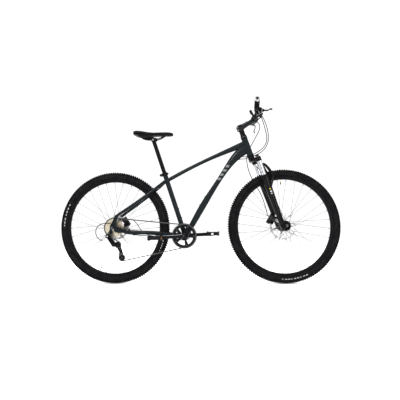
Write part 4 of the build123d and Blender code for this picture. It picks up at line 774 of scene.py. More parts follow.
def arm_piece(side):
    """Forged crank arm: waisted in side view, with a grey line painted along its upper edge as a highlight.
    """
    shape = Shape("black_metal")
    direction = crank_direction(side)
    up = direction.cross(SIDE) * (1 if direction.cross(SIDE).z > 0 else -1)
    stations = (
        (-16.5, 7.0), (-14.0, 12.0), (-8.0, 15.6), (0.0, 17.0), (10.0, 16.4), (30.0, 12.6), (60.0, 11.0),
        (110.0, 11.2), (150.0, 12.0), (168.0, 13.6), (175.0, 14.0), (183.0, 11.8), (187.0, 8.0),
        (189.0, 3.0),
    )
    low, high = 70.0, 84.0
    rings = []
    for reach, half in stations:
        centre = BB + direction * reach
        ring = []
        for y, share in (
            (low, 0.86), (low + 2.0, 1.0), (high - 4.0, 1.0), (high - 1.4, 0.90), (high, 0.66),
            (high, -0.66), (high - 1.4, -0.90), (high - 4.0, -1.0), (low + 2.0, -1.0), (low, -0.86),
        ):
            ring.append(centre + up * (half * share) + SIDE * (side * y))
        rings.append(ring)
    verts = [p for ring in rings for p in ring]
    shape.add(verts, ring_faces(len(rings), 10))
    # Painted highlight: a flat grey line along the upper edge of the arm, where light would catch it.
    line = [
        BB + direction * reach + up * (half * 0.80) + SIDE * (side * (high - 0.9))
        for reach, half in stations[4:10]
    ]
    sweep(shape, smooth_route(line, 8.0), 1.3, "bright_line", 10)
    eye = BB + direction * CRANK_LENGTH
    rod(shape, BB + SIDE * (side * 50), BB + SIDE * (side * 70.5), 17.0, finish="black_metal", sides=48)
    rod(shape, BB + SIDE * (side * 84), BB + SIDE * (side * 85.6), 11.5, 10.0, "black_plastic", 40)
    rod(shape, BB + SIDE * (side * 85.4), BB + SIDE * (side * 86.2), 5.5, 5.0, "grey_metal", 6)
    rod(shape, eye + SIDE * (side * 69.6), eye + SIDE * (side * 70.2), 8.5, finish="silver", sides=32)
    rod(shape, eye + SIDE * (side * 84), eye + SIDE * (side * 84.5), 9.0, finish="grey_metal", sides=32)
    return shape


def build_crank():
    right, left = arm_piece(-1), arm_piece(1)
    spider_centre = Vector((BB.x, -53.0, BB.z))
    holes = []
    for k in range(5):
        middle = SPIDER_START + 72 * k
        holes.append(window(27.0, 59.0, middle - 27, middle + 27, 10))
    slab(right, circle((0, 0), 67.2, 96), -1.7, 1.7, side_plane(spider_centre), holes)
    right.build("crank_arms", "crank", ROW, ("crank_arms",), bevel=0.6)
    left.build("crank_arm_left", "crank", ROW, (), bevel=0.6)
    ring = Shape("black_metal")
    ring_centre = Vector((BB.x, RING_Y, BB.z))
    slab(ring, toothed_outline(RING_TEETH), -0.9, 0.9, side_plane(ring_centre), [circle((0, 0), 64.0, 72)])
    for k in range(5):
        angle = radians(SPIDER_START + 36 + 72 * k)
        centre = Vector((BB.x + 63.0 * cos(angle), -54.6, BB.z + 63.0 * sin(angle)))
        bolt(ring, centre, -SIDE, 4.4, 1.4, "grey_metal")
        rod(ring, centre, centre + SIDE * 7.5, 3.0, finish="black_metal", sides=20)
    ring.build("chainring", "crank", ROW, ("chainring",), keep_angle=25)
    guard = Shape("black_plastic")
    middle = Vector((BB.x, RING_Y - 4.6, BB.z))
    spin(
        guard, middle, SIDE,
        [(67.6, -1.2), (70.0, -1.6), (79.5, -1.6), (81.6, -0.8), (82.0, 0.4), (81.4, 1.3), (67.6, 1.3)],
        "black_plastic", 128, closed=True,
    )
    # Painted highlight: a thin grey ring on the outer face of the guard.
    spin(guard, middle, SIDE, [(76.4, -1.5), (76.4, -1.9), (77.8, -1.9), (77.8, -1.5)], "bright_line", 128,
        closed=True)
    guard.build("chain_guard", "crank", ROW, ("chain_guard",), keep_angle=30)


PEDAL_IN, PEDAL_WIDE, PEDAL_LONG, PEDAL_TALL = 92.0, 92.0, 84.0, 32.0


def build_pedals():
    """Platform pedals: an outer cage with grip teeth, a centre barrel and four reflectors."""
    for side, name in ((-1, "right"), (1, "left")):
        shape = Shape("black_plastic")
        axle = BB + crank_direction(side) * CRANK_LENGTH
        middle = axle + SIDE * (side * (PEDAL_IN + PEDAL_WIDE / 2))
        half_long, half_wide = PEDAL_LONG / 2, PEDAL_WIDE / 2
        spin(
            shape, middle, SIDE,
            [(6.0, -half_wide + 2), (11.0, -half_wide + 2), (12.0, -half_wide + 8), (10.0, 0),
             (12.0, half_wide - 8), (11.0, half_wide - 2), (6.0, half_wide - 2)],
            "black_plastic", 40, closed=True,
        )
        for fore in (-1, 1):
            bar = plane_at(middle + Vector((fore * (half_long - 4.5), 0, 0)), (1, 0, 0), (0, 1, 0))
            brick(shape, bar, (8.0, PEDAL_TALL - 8, PEDAL_WIDE - 6))
            for k in range(9):
                y = -half_wide + 9 + k * (PEDAL_WIDE - 18) / 8
                tooth = middle + Vector((fore * (half_long - 4.5), y, 0))
                for up in (-1, 1):
                    rod(
                        shape, tooth + Vector((0, 0, up * (PEDAL_TALL / 2 - 5))),
                        tooth + Vector((0, 0, up * PEDAL_TALL / 2)), 3.0, 1.6, "black_plastic", 8,
                    )
            lens = plane_at(middle + Vector((fore * (half_long - 0.9), 0, 0)), (0, 1, 0), (1, 0, 0))
            brick(shape, lens, (40.0, 7.0, 1.6), "reflector_amber" if fore > 0 else "reflector_white")
        for edge in (-1, 1):
            plate = plane_at(middle + SIDE * (edge * (half_wide - 3.5)), (1, 0, 0), (0, 1, 0))
            outline = [
                (-half_long + 3, -11), (half_long - 3, -11), (half_long, -5), (half_long, 5),
                (half_long - 3, 11), (-half_long + 3, 11), (-half_long, 5), (-half_long, -5),
            ]
            slab(shape, outline, -3.5, 3.5, plate)
        for y in (-14.0, 14.0):
            brick(shape, plane_at(middle + SIDE * y, (1, 0, 0), (0, 1, 0)), (PEDAL_LONG - 10, 9.0, 3.4))
        shape.build("pedal_" + name, "pedal_" + name, ROW, ("pedal_" + name,), bevel=0.8)


def build_derailleur():
    """Rear derailleur: knuckle, parallelogram, long curved cage plates and their bolts."""
    shape = Shape("black_gloss")
    knuckle = rear_at(-27.0, 318.0, -82.0)
    hanger = rear_at(-17.0, 336.0, -82.0)
    pivot = rear_at(9.0, 263.0, -46.5)
    rod(shape, hanger - SIDE * 8, hanger + SIDE * 8.0, 9.0, finish="black_gloss", sides=36, chamfer=1.0)
    bolt(shape, hanger - SIDE * 8, -SIDE, 6.5, 2.5, "grey_metal")
    rod(shape, knuckle - SIDE * 10, knuckle + SIDE * 8.0, 13.0, finish="black_gloss", sides=40, chamfer=1.5)
    rod(shape, knuckle - SIDE * 12, knuckle - SIDE * 9, 4.6, 4.0, "silver", 28)
    between = plane_at((knuckle + hanger) / 2, hanger - knuckle, SIDE)
    brick(shape, between, ((hanger - knuckle).length, 17.0, 13.0))
    for dx, dz, finish in ((-7.0, -6.0, "black_gloss"), (7.0, 6.0, "black_metal")):
        start = knuckle + Vector((dx, -2, dz))
        end = pivot + Vector((dx, -3.5, dz))
        direction = end - start
        strut = plane_at((start + end) / 2, direction, SIDE)
        brick(shape, strut, (direction.length + 8, 10.0, 7.5), finish)
        for point in (start, end):
            rod(shape, point - SIDE * 5.2, point + SIDE * 5.2, 2.2, finish="silver", sides=20)
    web = plane_at((knuckle + pivot) / 2 - SIDE * 3, pivot - knuckle, SIDE)
    brick(shape, web, ((pivot - knuckle).length * 0.8, 15.0, 7.0), "black_gloss")
    rod(shape, pivot - SIDE * 10, pivot + SIDE * 10, 14.0, finish="black_gloss", sides=40, chamfer=1.5)
    rod(shape, pivot - SIDE * 12, pivot - SIDE * 9, 5.0, 4.4, "grey_metal", 28)
    rod(shape, knuckle + Vector((-8, 0, -10)), rear_at(-60.0, 290.0, -82), 5.5, 4.2, "silver", 24)
    for low in (COG_Y - 7.5, COG_Y + 6.0):
        outer = low < COG_Y
        sag = 10.0 if outer else 0.0
        cage_plate(shape, low, low + 1.5, sag)
    for centre in (GUIDE, TENSION):
        rod(shape, centre - SIDE * 8.6, centre + SIDE * 7.6, 2.5, finish="grey_metal", sides=20)
        bolt(shape, centre - SIDE * 7.4, -SIDE, 4.6, 2.4, "grey_metal")
    rod(shape, GUIDE + Vector((-9, -9.4, 2)), GUIDE + Vector((-9, -7.4, 2)), 9.0, finish="black_metal",
        sides=32)
    shape.build("rear_derailleur", "frame", ROW, ("rear_derailleur",), bevel=0.5)


def cage_plate(shape, low, high, sag):
    """One side plate of the pulley cage, bowed backwards by sag."""
    along = TENSION - GUIDE
    length = along.length
    place = plane_at((GUIDE.x, 0, GUIDE.z), along, SIDE)
    half = [(13.0, 0.0), (11.0, 0.25), (9.0, 0.5), (10.0, 0.78), (12.0, 1.0)]
    upper, lower = [], []
    for width, share in half:
        bow = sag * sin(pi * share)
        upper.append((length * share, width - bow))
        lower.append((length * share, -width - bow))
    start_cap = arc((0, 0), 13.0, 90, 270, 8)
    end_cap = arc((length, 0), 11.0, -90, 90, 8)
    outline = start_cap + lower[1:-1] + end_cap + list(reversed(upper[1:-1]))
    slab(shape, outline, low, high, place, window_bow(length, sag), "black_gloss")


def window_bow(length, sag):
    """A slot along the middle of a bowed cage plate."""
    top, bottom = [], []
    for k in range(7):
        share = 0.24 + 0.52 * k / 6
        bow = sag * sin(pi * share)
        top.append((length * share, 2.4 - bow))
        bottom.append((length * share, -2.4 - bow))
    return [top + list(reversed(bottom))]


# ---------------------------------------------------------------- fork
LEG_AHEAD, LEG_Y = 26.0, 65.0
STANCHION_R = 15.0
CROWN_LOW, CROWN_HIGH = 447.0, 479.0
LOWERS_TOP = 347.0
ARCH = ((50, 62, 286), (72, 61, 318), (77, 57, 352), (67, 44, 402), (58, 20, 426))


def section_loft(shape, sections, finish=None):
    """Joins rings of points given as lists of equal length."""
    count = len(sections[0])
    shape.add([p for ring in sections for p in ring], ring_faces(len(sections), count), finish)


def superellipse(centre, u, v, half_u, half_v, power=2.6, steps=40):
    """A rounded-box ring round a centre."""
    ring = []
    for k in range(steps):
        angle = 2 * pi * k / steps
        c, s = cos(angle), sin(angle)
        cu = abs(c) ** (2 / power) * (1 if c >= 0 else -1)
        sv = abs(s) ** (2 / power) * (1 if s >= 0 else -1)
        ring.append(Vector(centre) + Vector(u) * (half_u * cu) + Vector(v) * (half_v * sv))
    return ring


def build_crown():
    shape = Shape("black_gloss")
    rings = []
    for y, ahead, up, half_ahead, half_up in (
        (-68, 22, 467, 13, 9), (-58, 18, 468, 18, 11), (-40, 11, 471, 23, 12.5), (-20, 6, 474, 26, 13),
        (0, 4, 475.5, 27, 13.5), (20, 6, 474, 26, 13), (40, 11, 471, 23, 12.5), (58, 18, 468, 18, 11),
        (68, 22, 467, 13, 9),
    ):
        rings.append(superellipse((ahead, y, up), (1, 0, 0), (0, 0, 1), half_ahead, half_up, 3.0))
    section_loft(shape, rings)
    for side in (-1, 1):
        leg = (LEG_AHEAD, side * LEG_Y, 0)
        spin(
            shape, leg, (0, 0, 1),
            [(STANCHION_R, CROWN_LOW), (18.6, CROWN_LOW), (19.5, CROWN_LOW + 1.2), (19.5, CROWN_HIGH - 3),
             (18.0, CROWN_HIGH - 0.8), (14.0, CROWN_HIGH), (0.01, CROWN_HIGH)],
            "black_gloss", 56,
        )
    left_cap = (LEG_AHEAD, LEG_Y, 0)
    spin(
        shape, left_cap, (0, 0, 1),
        [(14.0, CROWN_HIGH - 1), (14.0, CROWN_HIGH + 2.0), (12.6, CROWN_HIGH + 3.2),
        (5.0, CROWN_HIGH + 3.4), (0.01, CROWN_HIGH + 3.4)],
        "grey_metal", 48,
    )
    rod(shape, (LEG_AHEAD, -LEG_Y, CROWN_HIGH - 1), (LEG_AHEAD, -LEG_Y, CROWN_HIGH + 0.7), 12.5,
        finish="grey_metal", sides=40)
    spin(shape, (0, 0, 0), (0, 0, 1), [(14.3, 484), (23.0, 484), (23.0, 487), (19.4, 500.6), (14.3, 500.6)],
        "black_gloss", 56, closed=True)
    spin(shape, (0, 0, 0), (0, 0, 1), [(12.1, 470), (14.3, 470), (14.3, 716), (12.1, 716)], "grey_metal",
        48, closed=True)
    shape.build("fork_crown", "steering", STEERED, ("fork_crown",), keep_angle=40)


def build_knob():
    shape = Shape("black_plastic")
    outline = []
    for k in range(120):
        angle = 2 * pi * k / 120
        radius = 12.6 - 0.9 * max(0.0, cos(angle * 10)) ** 2
        outline.append((radius * cos(angle), radius * sin(angle)))
    slab(shape, outline, 0.3, 8.6, Matrix.Translation((LEG_AHEAD, -LEG_Y, 482.6)))
    rod(shape, (LEG_AHEAD, -LEG_Y, 491), (LEG_AHEAD, -LEG_Y, 492.6), 10.6, 9.2, "black_plastic", 40)
    rod(shape, (LEG_AHEAD, -LEG_Y, 479.8), (LEG_AHEAD, -LEG_Y, 483), 4.0, finish="grey_metal", sides=20)
    shape.build("fork_knob", "fork_knob", STEERED, ("fork_knob",), bevel=0.6)


def build_stanchions():
    shape = Shape("stanchion")
    for side in (-1, 1):
        base = (LEG_AHEAD, side * LEG_Y, 0)
        spin(
            shape, base, (0, 0, 1),
            [(12.5, 200), (15.0, 200), (15.0, CROWN_HIGH - 3), (12.5, CROWN_HIGH - 3)], "stanchion", 64,
            closed=True,
        )
    shape.build("stanchions", "steering", STEERED, ("stanchions",))
    ring = Shape("black_plastic")
    spin(
        ring, (LEG_AHEAD, -LEG_Y, 0), (0, 0, 1),
        [(15.05, 372), (16.0, 372), (16.0, 374.4), (15.05, 374.4)], "black_plastic", 48, closed=True,
    )
    ring.build("travel_ring", "steering", STEERED)


def build_lowers():
    """Cast lowers: two tapered legs, the arch in front of them, seals, dropouts and printed bands."""
    shape = Shape("black_gloss")
    for side in (-1, 1):
        leg = (LEG_AHEAD, side * LEG_Y, 0)
        spin(
            shape, leg, (0, 0, 1),
            [(0.01, 13), (12.0, 13), (15.8, 16), (17.2, 24), (17.9, 110), (21.1, 230), (22.8, 292),
             (23.5, 300), (23.5, 340), (22.4, LOWERS_TOP), (15.1, LOWERS_TOP), (15.1, 300)],
            "black_gloss", 64,
        )
        spin(
            shape, leg, (0, 0, 1),
            [(15.1, LOWERS_TOP), (19.5, LOWERS_TOP), (19.5, LOWERS_TOP + 4.5), (17.6, LOWERS_TOP + 8),
            (15.1, LOWERS_TOP + 8)],
            "black_plastic", 56, closed=True,
        )
        dropout(shape, side)
        low = Vector((50, side * 62, 284))
        high = Vector((72, side * 61, 320))
        rod(shape, low - Vector((14, 0, 22)), high, 9.0, 10.0, "black_gloss", 36, 2.0)
    route = [(a, -y, u) for a, y, u in ARCH] + [(a, y, u) for a, y, u in reversed(ARCH)]
    line = smooth_route(route, 5.0)
    middle = len(line) / 2
    radii = [8.2 + 2.0 * (abs(i - middle) / middle) ** 2 for i in range(len(line))]
    sweep(shape, line, radii, "black_gloss", 28)
    rib = [p + Vector((-6.5, 0, 0)) for p in line[6:-6]]
    sweep(shape, rib, 4.2, "black_gloss", 16)
    leg_marks(shape)
    shape.build("fork_lowers", "fork_lowers", STEERED, ("fork_lowers",), keep_angle=40)


def dropout(shape, side):
    """Thick round end of a leg with a slot for the axle."""
    flat = Matrix(((1, 0, 0, FORK_OFFSET - 4), (0, 0, side, 0), (0, 1, 0, 1), (0, 0, 0, 1)))
    rim = circle((0, 0), 33.0, 64)
    slab(shape, rim, 50.0, 58.0, flat, [circle((4, -1), 5.3, 24)], "black_gloss")
    ring = Vector((FORK_OFFSET - 4, 0, 1))
    spin(
        shape, ring, SIDE * side,
        [(32.6, 50.4), (33.8, 52), (33.8, 56), (32.6, 58.2), (26.0, 58.6), (24.5, 58.0)], "black_gloss", 64,
    )
    boss = Vector((LEG_AHEAD + 2, 0, 6))
    rod(shape, boss + SIDE * (side * 52), boss + SIDE * (side * 73.5), 19.5, finish="black_gloss", sides=48,
        chamfer=3.5)


def leg_marks(shape):
    """Small plain printed bands on the outside of both legs, one yellow and two grey."""
    for side in (-1, 1):
        for low, high, start, end, finish in (
            (252, 260, -11, 11, "mark_yellow"), (236, 243, -14, 14, "ring_grey"),
            (222, 229, -11, 11, "ring_grey"),
        ):
            verts, faces = [], []
            steps = 10
            for up in (low, high):
                for k in range(steps + 1):
                    angle = radians(90 * side + start + (end - start) * k / steps)
                    radius = 18.0 + 5.0 * (up - 120) / 180 + 0.40
                    verts.append((LEG_AHEAD + radius * cos(angle), side * LEG_Y + radius * sin(angle), up))
            for k in range(steps):
                faces.append((k, k + 1, k + 2 + steps, k + 1 + steps))
            shape.add(verts, faces, finish)


# ---------------------------------------------------------------- cockpit
def build_bar():
    shape = Shape("black_metal")
    route, radii = [], []
    for step in range(-88, 89):
        y = step * 4.0
        side = abs(y)
        route.append(bar_point(y))
        if side <= 44:
            radii.append(15.9)
        elif side <= 116:
            t = (side - 44) / 72
            radii.append(15.9 - (15.9 - 11.3) * t * t * (3 - 2 * t))
        else:
            radii.append(GRIP_R)
    for _ in range(3):
        inner = [(a + b * 2 + c) / 4 for a, b, c in zip(route, route[1:], route[2:])]
        route = [route[0], *inner, route[-1]]
    sweep(shape, route, radii, "black_metal", 40)
    shape.build("handlebar", "steering", STEERED, ("handlebar",))


def build_stem():
    shape = Shape("stem_paint")
    up = Vector((0, 0, 1))
    spin(
        shape, (0, 0, 0), up,
        [(14.4, 680), (18.0, 680), (18.7, 681), (18.7, 715), (18.0, 716), (14.4, 716)], "stem_paint", 56,
        closed=True,
    )
    for side in (-1, 1):
        brick(shape, plane_at((-20, side * 5.8, 698), (1, 0, 0), up), (10, 8.6, 32))
        for height in (689, 707):
            bolt(shape, (-20, side * 10.0, height), SIDE * side, 3.8, 3.4)
    sections = []
    for share in (0.0, 0.15, 0.5, 0.85, 1.0):
        ahead = 8 + (BAR_AHEAD - 22) * share
        height = 699 + (BAR_UP - 3 - 699) * share
        half_y = 15.5 + (5.0 * share if share > 0.5 else -2.0 * sin(pi * share))
        half_z = 16.5 - 3.0 * sin(pi * share)
        sections.append(superellipse((ahead, 0, height), SIDE, (-0.24, 0, 0.97), half_y, half_z, 2.8, 40))
    section_loft(shape, sections, "stem_paint")
    tilt = plane_at((BAR_AHEAD, 0, BAR_UP), (1, 0, 0.25), (0, 1, 0))
    clamp = arc((0, 0), 21.0, 98, 262, 24) + arc((0, 0), 16.0, 262, 98, 24)
    face = arc((0, 0), 21.0, -80, 80, 24) + arc((0, 0), 16.0, 80, -80, 24)
    slab(shape, clamp, -24, 24, tilt, finish="stem_paint")
    for low, high in ((-24, -9), (9, 24)):
        slab(shape, face, low, high, tilt, finish="stem_paint")
    spine = arc((0, 0), 21.0, -30, 30, 10) + arc((0, 0), 16.0, 30, -30, 10)
    slab(shape, spine, -9, 9, tilt, finish="stem_paint")
    for height in (-19.0, 19.0):
        for y in (-16.5, 16.5):
            block_place = tilt @ Matrix.Translation((1.0, height, y))
            brick(shape, block_place, (19, 9.5, 12), "stem_paint")
            bolt(shape, tilt @ Vector((10.5, height, y)), Vector((1, 0, 0.25)), 3.6, 3.2)
    shape.build("stem", "steering", STEERED, ("stem",), bevel=0.9)


def build_spacers():
    shape = Shape("black_metal")
    spin(
        shape, (0, 0, 0), (0, 0, 1),
        [(14.3, 638.8), (21.0, 638.8), (20.4, 642), (17.8, 650.4), (14.3, 650.4)], "black_metal", 56,
        closed=True,
    )
    for low, high in ((650.7, 660.3), (660.7, 670.1), (670.5, 679.8)):
        spin(
            shape, (0, 0, 0), (0, 0, 1),
            [(14.3, low), (16.6, low), (17.0, low + 0.5), (17.0, high - 0.5), (16.6, high), (14.3, high)],
            "black_metal", 56, closed=True,
        )
    spin(
        shape, (0, 0, 0), (0, 0, 1),
        [(0.01, 716.1), (17.0, 716.1), (17.0, 717.5), (15.2, 721), (5.2, 721), (4.6, 718.8), (0.01, 718.8)],
        "black_metal", 56,
    )
    bolt(shape, (0, 0, 718.6), (0, 0, 1), 4.2, 3.4)
    shape.build("spacers_and_top_cap", "steering", STEERED, ("spacers_and_top_cap",))


def build_grips():
    shape = Shape("grip_rubber")
    for side in (-1, 1):
        inner, outer = bar_point(side * 224.3), bar_point(side * 342.8)
        axis = (outer - inner).normalized()
        length = (outer - inner).length
        profile = [(GRIP_R, 0.0), (15.0, 0.0), (15.8, 1.0)]
        along = 3.0
        while along < length - 4:
            profile += [(15.8, along), (15.1, along + 0.7), (15.1, along + 1.9), (15.8, along + 2.6)]
            along += 4.2
        profile += [(15.8, length - 1), (15.0, length), (GRIP_R, length)]
        spin(shape, inner, axis, profile, "grip_rubber", 48, closed=True)
        for low, high, finish in ((343.2, 351.6, "silver"), (216.2, 223.8, "black_metal")):
            a, b = bar_point(side * low), bar_point(side * high)
            width = (b - a).length
            spin(
                shape, a, b - a,
                [(GRIP_R, 0), (16.0, 0), (16.5, 0.6), (16.5, width - 0.6), (16.0, width), (GRIP_R, width)],
                finish, 48, closed=True,
            )
        end = bar_point(side * 351.6)
        spin(shape, end, axis, [(8.6, 0), (16.6, 0), (16.2, 1.2), (8.6, 1.4)], "silver", 48, closed=True)
        rod(shape, end, end + axis * 1.2, 8.6, 8.2, "black_plastic", 40)
    shape.build("grips", "steering", STEERED, ("grips",), keep_angle=28)


LEVER_FALL = Vector((0.86, 0, -0.51))
PIVOT_AHEAD, CYLINDER_AHEAD = 41.0, 25.0


def lever_out(side):
    """Along the blade, which falls a little towards its tip."""
    return Vector((0, side, -0.20))


def lever_axis(side):
    """The pivot pin is square to the blade's own plane and points up."""
    return LEVER_FALL.cross(lever_out(side)).normalized() * side


def bar_dir(side):
    return (bar_point(side * BAR_HALF) - bar_point(side * 115)).normalized()


def build_levers():
    """Master cylinders on their clamps, and two-finger blades."""
    body = Shape("black_gloss")
    for side, name in ((-1, "right"), (1, "left")):
        axis = lever_axis(side)
        pivot = bar_point(side * 176) + LEVER_FALL * PIVOT_AHEAD
        middle = bar_point(side * 196)
        along = bar_dir(side)
        spin(
            body, middle - along * 6, along,
            [(GRIP_R, 0), (15.2, 0), (16.4, 1), (16.4, 11), (15.2, 12), (GRIP_R, 12)], "black_gloss", 48,
            closed=True,
        )
        for reach in (-1, 1):
            centre = middle + LEVER_FALL.cross(along) * (reach * 13.0)
            bolt(body, centre + LEVER_FALL * 5.5, LEVER_FALL, 3.0, 3.0)
        inner = bar_point(side * 128) + LEVER_FALL * CYLINDER_AHEAD
        outer = bar_point(side * 203) + LEVER_FALL * CYLINDER_AHEAD
        rod(body, inner, outer, 7.2, 8.0, "black_gloss", 40, 1.4)
        rod(body, inner.lerp(outer, 0.28), inner.lerp(outer, 0.80), 9.2, 9.2, "black_gloss", 40, 2.4)
        rod(body, inner - (outer - inner).normalized() * 0.3, inner.lerp(outer, 0.10), 5.6, 6.0,
            "grey_metal", 6)
        brick(body, plane_at(middle + LEVER_FALL * 18, LEVER_FALL, along), (20, 12.6, 12))
        for edge in (-1, 1):
            ear = pivot + axis * (edge * 7.5)
            rod(body, ear - axis * 1.7, ear + axis * 1.7, 6.5, finish="black_gloss", sides=32)
            brick(body, plane_at(ear - LEVER_FALL * 8, LEVER_FALL, axis), (16, 12.8, 3.4))
        rod(body, pivot - axis * 9.6, pivot + axis * 9.6, 2.5, finish="silver", sides=20)
        lever_blade(side, name, pivot, axis)
    body.build("brake_lever_mounts", "steering", STEERED, ("brake_lever_mounts",), bevel=0.7)


def lever_blade(side, name, pivot, axis):
    shape = Shape("black_metal")
    out = lever_out(side)
    stops = [
        (0, 0, 4.9), (6, 10, 4.9), (14, 26, 5.1), (16.4, 46, 5.3), (17, 70, 5.3), (14.6, 92, 5.2),
        (13, 108, 5.2), (16, 119, 5.1), (20, 124, 5.1),
    ]
    route = smooth_route([pivot + LEVER_FALL * ahead + out * reach for ahead, reach, _ in stops], 3.0)
    rings = []
    for i, point in enumerate(route):
        share = i / (len(route) - 1) * (len(stops) - 1)
        k = min(int(share), len(stops) - 2)
        half = stops[k][2] + (stops[k + 1][2] - stops[k][2]) * (share - k)
        before, after = route[max(0, i - 1)], route[min(len(route) - 1, i + 1)]
        travel = (after - before).normalized()
        wide = axis.cross(travel).normalized()
        rings.append(superellipse(point, wide, axis, 2.75, half, 2.6, 24))
    section_loft(shape, rings)
    tip = route[-1]
    rod(shape, tip - axis * 4.4, tip + axis * 4.4, 4.5, finish="black_metal", sides=28, chamfer=1.0)
    spin(
        shape, pivot - axis * 5.3, axis, [(2.6, 0), (5.4, 0), (5.4, 10.6), (2.6, 10.6)],
        "black_metal", 32, closed=True,
    )
    shape.build("brake_lever_" + name, "brake_lever_" + name, STEERED, ("brake_lever_" + name,), bevel=0.3)


def build_shifter():
    """Shift pod under the right of the bar with a grey face, its thumb lever and its release trigger."""
    shape = Shape("black_plastic")
    middle = bar_point(-158)
    along = bar_dir(-1)
    spin(
        shape, middle - along * 5, along,
        [(GRIP_R, 0), (14.6, 0), (15.5, 0.8), (15.5, 9.2), (14.6, 10), (GRIP_R, 10)], "black_metal", 48,
        closed=True,
    )
    drop = Vector((-0.10, 0, -0.995))
    pod = middle + drop * 37 + Vector((14, 0, 0))
    up = Vector((0, 0, 1))
    spin(
        shape, pod, up,
        [(0.01, -3), (18.5, -3), (21.0, -1), (21.0, 7), (18.0, 10.2), (12.0, 11.0), (0.01, 11.0)],
        "black_plastic", 56,
    )
    spin(shape, pod, up, [(21.1, 2.2), (21.35, 2.6), (21.35, 4.2), (21.1, 4.6)], "silver", 56, closed=True)
    brick(shape, plane_at(middle + drop * 19.5 + Vector((2, 0, 0)), (1, 0, 0), along), (16, 18, 10))
    rod(shape, pod + Vector((8, 12, 6)), pod + Vector((12, 34, 6)), 4.6, 3.6, "black_plastic", 28, 0.6)
    for share in (0.45, 0.6, 0.75):
        point = (pod + Vector((8, 12, 6))).lerp(pod + Vector((12, 34, 6)), share)
        rod(shape, point, point + Vector((0.3, 1.6, 0)), 5.0, finish="grey_metal", sides=28)
    rod(shape, pod - up * 20, pod - up * 3, 3.0, finish="silver", sides=24)
    shape.build("shifter_body", "steering", STEERED, ("shifter_body",), bevel=0.7)
    for name, low, reach in (
        ("shift_lever", -11.0, Vector((-41, -12, 0))),
        ("release_lever", -19.0, Vector((-16, 34, 0))),
    ):
        lever = Shape("black_plastic")
        hub = pod + up * low
        spin(lever, hub, up, [(3.1, 0), (8.0, 0), (8.0, 6), (3.1, 6)], "black_plastic", 36, closed=True)
        tip = hub + reach + up * 3
        start = hub + reach.normalized() * 6.5 + up * 3
        brick(lever, plane_at((start + tip) / 2, reach, up), ((tip - start).length, 9.0, 4.8))
        if name == "shift_lever":
            rod(lever, tip - up * 2.5, tip + Vector((-14, -18, 30)), 5.5, 7.0, "black_plastic", 28, 1.0)
            rod(lever, tip + Vector((-14, -18, 24)), tip + Vector((-17, -21, 50)), 9.0, 8.0,
                "black_plastic", 32, 2.0)
        else:
            rod(lever, tip - up * 3.8, tip + up * 4, 7.5, 6.5, "black_plastic", 32, 1.6)
        lever.build(name, name, STEERED, (name,), bevel=0.8)


# ---------------------------------------------------------------- saddle and seatpost
SADDLE_PIVOT = BB + SEAT_DIR * 662.0
# Distance from the rear axle, half width, top height, underside height, sag of the middle channel.
SADDLE_STATIONS = (
    (132.0, 22.0, 1009.0, 1000.0, 0.0), (137.0, 43.0, 1012.5, 997.0, 0.0), (150.0, 63.0, 1015.0, 991.0, 1.0),
    (168.0, 71.5, 1015.2, 988.0, 2.2), (190.0, 72.0, 1013.0, 986.0, 3.2), (212.0, 63.5, 1009.0, 985.5, 3.6),
    (240.0, 47.0, 1005.0, 985.0, 3.6), (270.0, 33.0, 1003.0, 984.5, 3.2), (300.0, 26.0, 1004.2, 984.0, 2.6),
    (335.0, 21.5, 1005.0, 983.0, 1.6), (368.0, 19.5, 1004.0, 982.0, 0.8), (388.0, 16.0, 1000.5, 982.5, 0.3),
    (397.0, 10.0, 996.0, 984.0, 0.0), (400.0, 4.0, 992.0, 986.0, 0.0),
)


